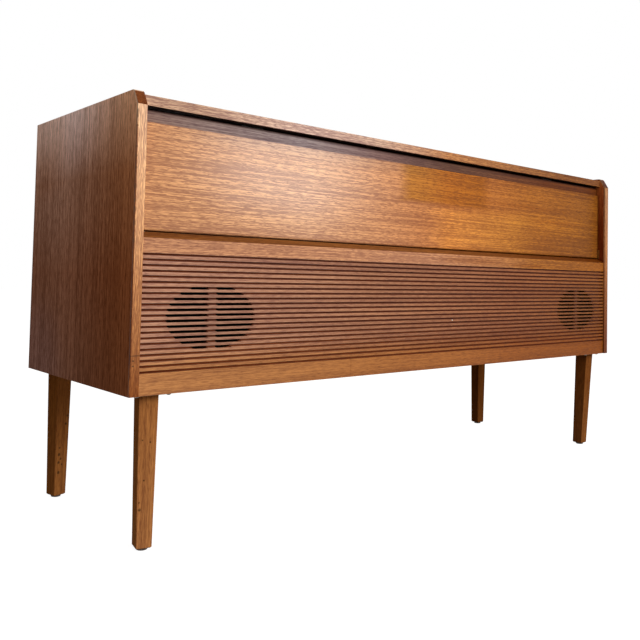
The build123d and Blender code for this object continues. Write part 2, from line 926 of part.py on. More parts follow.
def push_button(name):
    x = button_x(name)
    cap_back = fascia_y + edge_round
    cap = block(x - button_width / 2, x + button_width / 2, cap_back - button_length, cap_back,
                button_z - button_height / 2, button_z + button_height / 2)
    cap = fillet(cap.faces().sort_by(Axis.Y)[0].edges(), edge_round)
    half = button_stem / 2
    stem_end = chassis_front_back + button_travel
    return cap + block(x - half, x + half, cap_back, stem_end, button_z - half, button_z + half)


def mains_transformer():
    size_x, size_y, size_z = transformer_size
    x = tuner_x1 - size_x
    y = chassis_y + chassis_depth / 2
    z0 = floor_z + chassis_deck_rise
    core = block(x - size_x / 2, x + size_x / 2, y - transformer_core / 2,
                 y + transformer_core / 2, z0, z0 + size_z)
    coil = block(x - transformer_coil_width / 2, x + transformer_coil_width / 2,
                 y - size_y / 2, y + size_y / 2, z0, z0 + transformer_coil_height)
    coil = fillet(coil.edges().filter_by(Axis.Z), transformer_round)
    return core + coil


def valves():
    y = chassis_y + valve_setback
    z0 = floor_z + chassis_deck_rise
    row = []
    for k in range(valve_count):
        x = tuner_x0 + valve_pitch * (k + 1)
        base = post(x, y, z0, z0 + valve_base_height, valve_base_radius)
        bulb = post(x, y, z0 + valve_base_height, z0 + valve_height, valve_radius)
        bulb = fillet(bulb.edges().group_by(Axis.Z)[-1], valve_dome)
        row.append(base + bulb)
    return row


# Record deck


def deck_plate():
    tray = block(deck_left, deck_right, deck_front, deck_back, floor_z, deck_top)
    tray = fillet(tray.edges().filter_by(Axis.Z), deck_corner)
    wall = deck_plate_thickness
    tray -= block(deck_left + deck_corner, deck_right - deck_corner, deck_front + wall,
                  deck_back - wall, floor_z, deck_top - wall)
    tray -= block(deck_left + wall, deck_right - wall, deck_front + deck_corner,
                  deck_back - deck_corner, floor_z, deck_top - wall)
    tray += post(platter_x, platter_y, deck_top, platter_z - loose, bearing_radius)
    tray -= post(platter_x, platter_y, floor_z, platter_z, deck_spindle_radius)
    tray -= post(arm_x, arm_y, floor_z, deck_top, arm_shaft_radius + running)
    tray -= post(lever_x, lever_y, floor_z, deck_top, spindle_radius + running)
    tray -= post(overarm_x, overarm_y, floor_z, deck_top, overarm_post_radius + running)
    return tray


def platter():
    disc = post(platter_x, platter_y, platter_z, mat_z, platter_radius)
    disc = fillet(disc.edges().group_by(Axis.Z)[-1], platter_round)
    disc -= post(platter_x, platter_y, platter_z, mat_z, deck_spindle_radius + running)
    return disc


def platter_mat():
    radius = platter_radius - mat_margin
    mat = post(platter_x, platter_y, mat_z, mat_z + mat_thickness, radius)
    top = mat_z + mat_thickness
    pitch = radius / (mat_groove_count + 1)
    for k in range(mat_groove_count):
        outer = (k + 1) * pitch + mat_groove_width
        groove = post(platter_x, platter_y, top - mat_groove_depth, top, outer)
        mat -= groove - post(platter_x, platter_y, mat_z, top, outer - mat_groove_width)
    return mat - post(platter_x, platter_y, mat_z, top, deck_spindle_radius + running)


def deck_spindle():
    rod = post(platter_x, platter_y, deck_top - deck_plate_thickness,
               deck_top + deck_spindle_height, deck_spindle_radius)
    return fillet(rod.edges().group_by(Axis.Z)[-1], deck_spindle_round)


def tonearm():
    pillar = post(arm_x, arm_y, deck_top + loose, arm_z - arm_tube_radius, arm_pillar_radius)
    pillar += post(arm_x, arm_y, arm_z - arm_tube_radius, arm_z + arm_tube_radius,
                   arm_yoke_radius)
    shaft = post(arm_x, arm_y, deck_top - shaft_reach, deck_top + loose,
                 arm_shaft_radius)
    head_y = arm_y - arm_length
    tube = rod_y(arm_x, arm_z, head_y + head_length / 2, arm_y + arm_tail, arm_tube_radius)
    weight = rod_y(arm_x, arm_z, arm_y + arm_tail / 2, arm_y + arm_tail, arm_weight_radius)
    head = block(arm_x - head_width / 2, arm_x + head_width / 2, head_y - head_length / 2,
                 head_y + head_length / 2, arm_z + arm_tube_radius - head_height,
                 arm_z + arm_tube_radius)
    head = fillet(head.edges().filter_by(Axis.Z), head_round)
    return pillar + shaft + tube + weight + head


def overarm():
    z = deck_top + overarm_height
    dx = platter_x - overarm_x
    dy = platter_y - overarm_y
    reach = math.hypot(dx, dy)
    heading = math.degrees(math.atan2(dy, dx))
    mast = post(0, 0, deck_top - shaft_reach, z + overarm_cap, overarm_post_radius)
    collar = post(0, 0, deck_top + loose, deck_top + overarm_collar_height,
                  overarm_collar_radius)
    arm = rod_x(0, z, 0, reach, overarm_radius)
    cup = post(reach, 0, z - overarm_cup_drop, z + overarm_cup_rise, overarm_cup_radius)
    shape = mast + collar + arm + cup
    return Location((overarm_x, overarm_y, 0), (0, 0, heading)) * shape


def control_lever():
    z0 = deck_top + loose
    disc = post(lever_x, lever_y, z0, z0 + lever_height, lever_disc_radius)
    disc += post(lever_x, lever_y, deck_top - shaft_reach, z0, spindle_radius)
    blade = block(lever_x - spindle_radius, lever_x + spindle_radius, lever_y - lever_length,
                  lever_y, z0 + lever_height - lever_blade_height, z0 + lever_height)
    return disc + fillet(blade.edges().filter_by(Axis.Z).group_by(Axis.Y)[0], lever_round)


def deck_motor():
    underside = deck_top - deck_plate_thickness
    can = post(motor_x, motor_y, underside - motor_height, underside, motor_radius)
    return fillet(can.edges().group_by(Axis.Z)[0], motor_round)


nodes = {}
left_core, left_strip = side_and_lipping(-width / 2, -side_x)
right_core, right_strip = side_and_lipping(side_x, side_x)
nodes["side_left"] = left_core
nodes["side_right"] = right_core
nodes["lippings"] = [left_strip, right_strip]
nodes["top_panel"] = top_board()
nodes["base_panel"] = base_board()
nodes["front_grille"] = front_board()
nodes["sill_rail"] = sill()
nodes["compartment_floor"] = compartment_floor()
nodes["partition_left"] = partition(left_partition_x)
nodes["partition_right"] = partition(right_partition_x)
nodes["back_panel"] = back_board()
nodes["mains_inlet"] = mains_inlet()
nodes["wood_screws"] = leg_screws + back_screws + speaker_screws
nodes["flap_panel"] = flap_panel()
nodes["flap_pull"] = flap_pull()
nodes["flap_pivots"] = both_sides(flap_pivot())
nodes["pivot_plates"] = both_sides(pivot_plate_piece())
nodes["flap_stays"] = both_sides(flap_stay())
nodes["stay_guides"] = both_sides(stay_guide())
nodes["magnetic_catches"] = both_sides(magnetic_catch())
nodes["catch_strikes"] = both_sides(strike())
for name in leg_places:
    nodes["leg_" + name] = leg(name)
nodes["leg_plates"] = [leg_plate(x, y) for x, y in leg_places.values()]
nodes["leg_bolts"] = [leg_bolt(x, y) for x, y in leg_places.values()]
nodes["leg_glides"] = [leg_glide(name) for name in leg_places]
for side, x in (("left", -oval_x), ("right", oval_x)):
    nodes[f"speaker_{side}_basket"] = speaker_basket(x)
    nodes[f"speaker_{side}_cone"] = speaker_cone(x)
    nodes[f"speaker_{side}_magnet"] = speaker_magnet(x)
nodes["speaker_cloths"] = [speaker_cloth(-oval_x), speaker_cloth(oval_x)]
nodes["tuner_fascia"] = tuner_fascia()
nodes["tuner_chassis"] = tuner_chassis()
nodes["dial_glass"] = dial_glass()
nodes["dial_plate"] = dial_plate()
nodes["dial_pointer"] = dial_pointer()
nodes["pointer_rail"] = rod_x(rail_y, rail_z, tuner_x - rail_length / 2,
                              tuner_x + rail_length / 2, rail_radius)
nodes["tuning_knob"] = knob(tuning_x, tuning_z, tuning_knob_radius, tuning_knob_length)
nodes["tuning_spindle"] = tuning_spindle()
nodes["volume_knob"] = small_knob(volume_z)
nodes["tone_knob"] = small_knob(tone_z)
nodes["potentiometers"] = [potentiometer(volume_z), potentiometer(tone_z)]
for name in button_names:
    nodes["button_" + name] = push_button(name)
nodes["mains_transformer"] = mains_transformer()
nodes["valves"] = valves()
nodes["deck_plate"] = deck_plate()
nodes["platter"] = platter()
nodes["platter_mat"] = platter_mat()
nodes["deck_spindle"] = deck_spindle()
nodes["tonearm"] = tonearm()
nodes["overarm"] = overarm()
nodes["control_lever"] = control_lever()
nodes["deck_motor"] = deck_motor()

os.makedirs("parts", exist_ok=True)
for name, pieces in nodes.items():
    solids = []
    for piece in pieces if isinstance(pieces, list) else [pieces]:
        solids.extend(piece.solids())
    shape = solids[0] if len(solids) == 1 else Compound(children=solids)
    export_step(shape, f"parts/{name}.step")
print(len(nodes), "nodes")
print("pivot y, z", round(pivot_y, 3), round(pivot_z, 3))
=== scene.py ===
import math
import bmesh
import bpy
from mathutils import Euler, Matrix, Vector


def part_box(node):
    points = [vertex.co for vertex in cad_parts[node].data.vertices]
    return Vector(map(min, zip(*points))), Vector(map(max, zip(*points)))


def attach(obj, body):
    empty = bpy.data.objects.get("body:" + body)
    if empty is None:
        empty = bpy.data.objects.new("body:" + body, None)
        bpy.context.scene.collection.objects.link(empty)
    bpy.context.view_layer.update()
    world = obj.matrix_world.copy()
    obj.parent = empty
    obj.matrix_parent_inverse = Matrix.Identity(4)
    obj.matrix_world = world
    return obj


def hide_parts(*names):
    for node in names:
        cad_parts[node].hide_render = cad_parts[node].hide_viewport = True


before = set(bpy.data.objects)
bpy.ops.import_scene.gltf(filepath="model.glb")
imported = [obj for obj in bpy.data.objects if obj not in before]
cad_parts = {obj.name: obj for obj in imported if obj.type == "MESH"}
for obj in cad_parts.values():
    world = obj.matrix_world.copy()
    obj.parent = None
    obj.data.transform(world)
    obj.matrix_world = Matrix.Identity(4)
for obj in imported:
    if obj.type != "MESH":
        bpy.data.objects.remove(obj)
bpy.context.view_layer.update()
print("frame loaded")

# Node trees, for the materials and for Geometry Nodes

bothTrees = {"Math", "VectorMath", "CombineXYZ", "SeparateXYZ", "MapRange", "Mix"}
nowhere = (0.0, 0.0, 0.0)


def placed(name, data):
    made = bpy.data.objects.new(name, data)
    bpy.context.scene.collection.objects.link(made)
    return made


def put(tree, kind, sockets=None, **settings):
    family = "GeometryNode" if tree.type == "GEOMETRY" and kind not in bothTrees else "ShaderNode"
    made = tree.nodes.new(kind if kind.startswith("Function") else family + kind)
    for key, value in settings.items():
        setattr(made, key, value)
    for key, value in (sockets or {}).items():
        feed(tree, made.inputs[key], value)
    return made


def feed(tree, socket, value):
    if isinstance(value, list):  # several links into one socket
        for one in value:
            tree.links.new(one, socket)
    elif isinstance(value, bpy.types.NodeSocket):
        tree.links.new(value, socket)
    elif isinstance(value, tuple) and len(value) == 3 and socket.type == "RGBA":
        socket.default_value = (*value, 1.0)
    else:
        socket.default_value = value


def calc(tree, operation, first, second=0.5, clamp=False):
    return put(tree, "Math", {0: first, 1: second}, operation=operation, use_clamp=clamp).outputs[0]


def plus(tree, first, second, clamp=False):
    return calc(tree, "ADD", first, second, clamp)


def minus(tree, first, second, clamp=False):
    return calc(tree, "SUBTRACT", first, second, clamp)


def times(tree, first, second):
    return calc(tree, "MULTIPLY", first, second)


def vectorCalc(tree, operation, first, second=nowhere):
    made = put(tree, "VectorMath", {0: first, 1: second}, operation=operation)
    return made.outputs["Value" if operation in ("DOT_PRODUCT", "LENGTH") else "Vector"]


def combine(tree, x=0.0, y=0.0, z=0.0):
    return put(tree, "CombineXYZ", {"X": x, "Y": y, "Z": z}).outputs[0]


def split(tree, vector):
    return put(tree, "SeparateXYZ", {0: vector}).outputs


def axisValue(tree, vector, axis):
    return split(tree, vector)["XYZ".index(axis)]


def ramp(tree, value, low, high, toLow=0.0, toHigh=1.0):
    made = put(tree, "MapRange", {"Value": value, "From Min": low, "From Max": high,
                                  "To Min": toLow, "To Max": toHigh}, interpolation_type="SMOOTHSTEP")
    return made.outputs["Result"]


def blendColour(tree, factor, under, over, mode="MIX"):
    return put(tree, "Mix", {"Factor": factor, 6: under, 7: over}, data_type="RGBA", blend_type=mode,
               clamp_factor=True).outputs[2]


def noise(tree, vector, scale, detail=2.0, roughness=0.5):
    return put(tree, "TexNoise", {"Vector": vector, "Scale": scale, "Detail": detail,
                                  "Roughness": roughness}).outputs["Fac"]


def socketKind(value):
    if isinstance(value, str):
        return "NodeSocket" + value
    if isinstance(value, tuple):
        return "NodeSocketVector" if len(value) == 3 else "NodeSocketColor"
    return "NodeSocketInt" if isinstance(value, int) else "NodeSocketFloat"


def startGroup(name, inputs, outputs, family="Shader"):
    # each socket: its label, and its value or its kind
    tree = bpy.data.node_groups.new(name, family + "NodeTree")
    for way, sockets in (("INPUT", inputs), ("OUTPUT", outputs)):
        for label, value in sockets.items():
            made = tree.interface.new_socket(name=label, in_out=way, socket_type=socketKind(value))
            if not isinstance(value, str):
                made.default_value = value
    return tree, tree.nodes.new("NodeGroupInput").outputs, tree.nodes.new("NodeGroupOutput").inputs


def useGroup(tree, group, sockets):
    made = tree.nodes.new("ShaderNodeGroup")
    made.node_tree = group
    for key, value in sockets.items():
        feed(tree, made.inputs[key], value)
    return made.outputs


def startMaterial(name, **plain):
    material = bpy.data.materials.new(name)
    material.use_nodes = True
    tree = material.node_tree
    shader = tree.nodes["Principled BSDF"].inputs
    for key, value in plain.items():
        shader[key.replace("_", " ")].default_value = value
    return material, tree, shader, put(tree, "TexCoord").outputs["Object"]


def surface(tree, shader, colour, height, distance, strength):
    tree.links.new(colour, shader["Base Color"])
    made = put(tree, "Bump", {"Height": height, "Distance": distance, "Strength": strength})
    tree.links.new(made.outputs["Normal"], shader["Normal"])


def srgb(red, green, blue):
    def linear(value):
        value = value / 255
        return value / 12.92 if value <= 0.04045 else ((value + 0.055) / 1.055) ** 2.4
    return tuple(linear(value) for value in (red, green, blue))


# Teak's grain over a colour, along the vector's X: the stretch and detail of each layer

grainLayers = {"figure": ((0.8, 20.0, 20.0), 2.5), "streak": ((4.0, 430.0, 430.0), 1.5),
               "fibre": ((60.0, 1050.0, 1050.0), 1.0), "pore": ((90.0, 900.0, 900.0), 1.0)}
grainForm = {"swayScale": 2.6, "roughness": 0.6, "layer": (0.28, 0.72), "pore": (0.54, 0.66),
             "handling": 0.12, "bump": (0.0001, 0.5)}  # bump: distance and strength


def teakGrainGroup():
    tree, given, ends = startGroup("teakGrain", {
        "Colour": (0.5, 0.3, 0.15, 1.0), "Vector": nowhere, "Fineness": 1.0, "Waviness": 0.004,
        "Dark Tint": (0.7, 0.6, 0.5, 1.0), "Light Tint": (1.2, 1.2, 1.2, 1.0),
        "Figure": 0.5, "Streak": 0.5, "Fibre": 0.5, "Pore": 0.3}, {"Colour": "Color", "Height": "Float"})
    cloud = put(tree, "TexNoise", {"Vector": given["Vector"], "Scale": grainForm["swayScale"]})
    sway = vectorCalc(tree, "SUBTRACT", cloud.outputs["Color"], (0.5, 0.5, 0.5))
    sway = put(tree, "VectorMath", {0: sway, "Scale": given["Waviness"]}, operation="SCALE").outputs[0]
    bent = vectorCalc(tree, "ADD", given["Vector"], sway)
    made = {}
    for key, (stretch, detail) in grainLayers.items():
        stretched = vectorCalc(tree, "MULTIPLY", bent, stretch)
        made[key] = noise(tree, stretched, given["Fineness"], detail, grainForm["roughness"])
    shade = 0.5
    for key in ("figure", "streak", "fibre"):
        centred = minus(tree, ramp(tree, made[key], *grainForm["layer"]), 0.5)
        shade = plus(tree, shade, times(tree, centred, given[key.capitalize()]))
    pore = ramp(tree, made["pore"], *grainForm["pore"])
    shade = minus(tree, shade, times(tree, pore, given["Pore"]), clamp=True)
    low = blendColour(tree, 1.0, given["Colour"], given["Dark Tint"], "MULTIPLY")
    high = blendColour(tree, 1.0, given["Colour"], given["Light Tint"], "MULTIPLY")
    tree.links.new(blendColour(tree, shade, low, high), ends["Colour"])
    tree.links.new(minus(tree, times(tree, made["fibre"], 0.5), pore), ends["Height"])
    return tree


# A soft-edged place on a surface, round or square: knots, dents, faded and polished patches, and painted
# shade and sheen

markForm = {"raggedScale": 2.5, "raggedDetail": 3.0}


def markGroup():
    tree, given, ends = startGroup("surfaceMark", {
        "Vector": nowhere, "Centre": nowhere, "Half Size": (0.1, 0.1, 0.1), "Softness": 0.3,
        "Raggedness": 0.0, "Roundness": 1.0}, {"Mask": "Float"})
    away = vectorCalc(tree, "SUBTRACT", given["Vector"], given["Centre"])
    share = vectorCalc(tree, "DIVIDE", away, given["Half Size"])
    x, y, z = split(tree, vectorCalc(tree, "ABSOLUTE", share))
    square = calc(tree, "MAXIMUM", calc(tree, "MAXIMUM", x, y), z)
    rounded = vectorCalc(tree, "LENGTH", share)
    reach = put(tree, "Mix", {0: given["Roundness"], 2: square, 3: rounded}).outputs[0]
    rough = minus(tree, noise(tree, share, markForm["raggedScale"], markForm["raggedDetail"]), 0.5)
    reach = plus(tree, reach, times(tree, rough, given["Raggedness"]))
    inner = minus(tree, 1.0, given["Softness"])
    tree.links.new(ramp(tree, reach, inner, 1.0, 1.0, 0.0), ends["Mask"])
    return tree


# Handling: roughness that drifts and varies finely, and a few specks of dust

handlingForm = {"driftScale": 7.0, "drift": 1.4, "fineScale": 90.0, "fine": 0.6, "speckScale": 420.0,
                "speckEdge": (0.70, 0.78)}


def handlingGroup():
    tree, given, ends = startGroup("handling", {"Vector": nowhere, "Base": 0.4, "Spread": 0.1},
                                   {"Roughness": "Float", "Specks": "Float"})
    drift = minus(tree, noise(tree, given["Vector"], handlingForm["driftScale"], 3.0), 0.5)
    fine = minus(tree, noise(tree, given["Vector"], handlingForm["fineScale"]), 0.5)
    both = plus(tree, times(tree, drift, handlingForm["drift"]), times(tree, fine, handlingForm["fine"]))
    rough = plus(tree, given["Base"], times(tree, both, given["Spread"]), clamp=True)
    tree.links.new(rough, ends["Roughness"])
    specks = noise(tree, given["Vector"], handlingForm["speckScale"], 1.0)
    tree.links.new(ramp(tree, specks, *handlingForm["speckEdge"]), ends["Specks"])
    return tree


teakGrain = teakGrainGroup()
surfaceMark = markGroup()
handling = handlingGroup()


def mark(at, size, tint=None, soft=0.4, strength=1.0, ragged=0.0, square=False, mode="MULTIPLY"):
    return {"at": at, "size": size, "tint": tint, "soft": soft, "strength": strength, "ragged": ragged,
            "square": square, "mode": mode}


def markMask(tree, place, one):
    mask = useGroup(tree, surfaceMark, {
        "Vector": place, "Centre": one["at"], "Half Size": one["size"], "Softness": one["soft"],
        "Raggedness": one["ragged"], "Roundness": 0.0 if one["square"] else 1.0})["Mask"]
    return times(tree, mask, one["strength"])


def useHandling(tree, shader, place, base, spread):
    touched = useGroup(tree, handling, {"Vector": place, "Base": base, "Spread": spread})
    tree.links.new(touched["Roughness"], shader["Roughness"])
    return touched["Specks"]


def zonedColour(tree, place, axis, *stops):
    # the colour along one axis of the piece, from stops of place and colour
    low, high = stops[0][0], stops[-1][0]
    along = put(tree, "MapRange", {"Value": axisValue(tree, place, axis), "From Min": low, "From Max": high})
    band = put(tree, "ValToRGB", {"Fac": along.outputs["Result"]})
    elements = band.color_ramp.elements
    for number, (at, *colour) in enumerate(stops):
        share = (at - low) / (high - low)
        if number < 2:
            elements[number].position = share
        element = elements[number] if number < 2 else elements.new(share)
        element.color = (*srgb(*colour), 1.0)
    return band.outputs["Color"]


# The cabinet's woods. Zones: an axis, then stops of place and colour; some stops hold painted highlights and
# shade. Fades and painted light: axis, start, end and tint.

grainTurns = {"X": nowhere, "Z": (0.0, math.radians(90), 0.0)}
grainAmounts = (0.35, 0.7, 0.85, 0.6)  # figure, streak, fibre and pore
grainDark = (0.60, 0.52, 0.52)
grainLight = (1.30, 1.32, 1.16)
facingPaintedShade = {  # painted shade by which way a face looks: a direction, and how squarely a face has to look that way
    "undersidePaintedShade": ((0.0, 0.0, -1.0), 0.7, 0.9),  # painted shade beneath, under the top board's overhang
    "leftFacePaintedShade": ((-1.0, 0.0, 0.0), 0.6, 0.8),  # painted shade on faces turned left, away from the lamps
    "chamferPaintedShade": ((0.0, -0.86, 0.5), 0.93, 0.98),  # painted shade on the chamfer, which faces up and forwards
}


def teakMaterial(name, look):
    material, tree, shader, place = startMaterial(
        name, Coat_Roughness=look.get("coatRoughness", 0.3), Specular_IOR_Level=look.get("specular", 0.06))
    turned = put(tree, "Mapping", {"Vector": place, "Rotation": grainTurns[look["grain"]],
                                   "Location": look.get("shift", nowhere)}).outputs[0]
    colour = zonedColour(tree, place, *look["zones"])
    # fades, painted shade and painted sheen along one axis
    for axis, start, end, tint in look.get("fadesAndPaintedLight", ()):
        amount = ramp(tree, axisValue(tree, place, axis), start, end)
        colour = blendColour(tree, amount, colour, tint, "MULTIPLY")
    for one in look.get("marks", ()):
        colour = blendColour(tree, markMask(tree, place, one), colour, one["tint"], one["mode"])
    grain = useGroup(tree, teakGrain, {
        "Colour": colour, "Vector": turned, "Fineness": look.get("fineness", 1.0),
        "Waviness": look.get("waviness", 0.004), "Dark Tint": look.get("darkTint", grainDark),
        "Light Tint": look.get("lightTint", grainLight),
        **dict(zip(("Figure", "Streak", "Fibre", "Pore"), look.get("amounts", grainAmounts)))})
    colour = grain["Colour"]
    # painted shade on faces that look one way
    for key, (direction, low, high) in facingPaintedShade.items():
        if key in look:
            facing = vectorCalc(tree, "DOT_PRODUCT", put(tree, "NewGeometry").outputs["Normal"], direction)
            colour = blendColour(tree, ramp(tree, facing, low, high), colour, look[key], "MULTIPLY")
    useHandling(tree, shader, place, look.get("roughness", 0.45), grainForm["handling"])
    if "polish" in look:  # worn-in polish: a coat on one part of the piece
        tree.links.new(markMask(tree, place, look["polish"]), shader["Coat Weight"])
    surface(tree, shader, colour, grain["Height"], *grainForm["bump"])
    return material


# where the left lipping's outer edge is chipped: height and half length
lippingChips = ((0.661, 0.009), (0.643, 0.002), (0.612, 0.002), (0.598, 0.003), (0.580, 0.003),
                (0.552, 0.005), (0.531, 0.004), (0.518, 0.006), (0.497, 0.005), (0.471, 0.004))

# dents in the left legs: place and radius
legDents = ((-0.6468, -0.183, 0.0638, 0.0030), (-0.6475, -0.183, 0.0746, 0.0017),
            (-0.6415, -0.183, 0.1075, 0.0015), (-0.6459, -0.183, 0.1687, 0.0013),
            (-0.6339, -0.183, 0.1649, 0.0013), (-0.6377, 0.160, 0.0651, 0.0024),
            (-0.6363, 0.160, 0.0923, 0.0018), (-0.6371, 0.160, 0.0799, 0.0027),
            (-0.6336, 0.160, 0.0714, 0.0022), (-0.6311, 0.160, 0.0609, 0.0018),
            (-0.6371, 0.160, 0.0466, 0.0027), (-0.6254, 0.160, 0.1360, 0.0024),
            (-0.6226, 0.160, 0.1511, 0.0026))

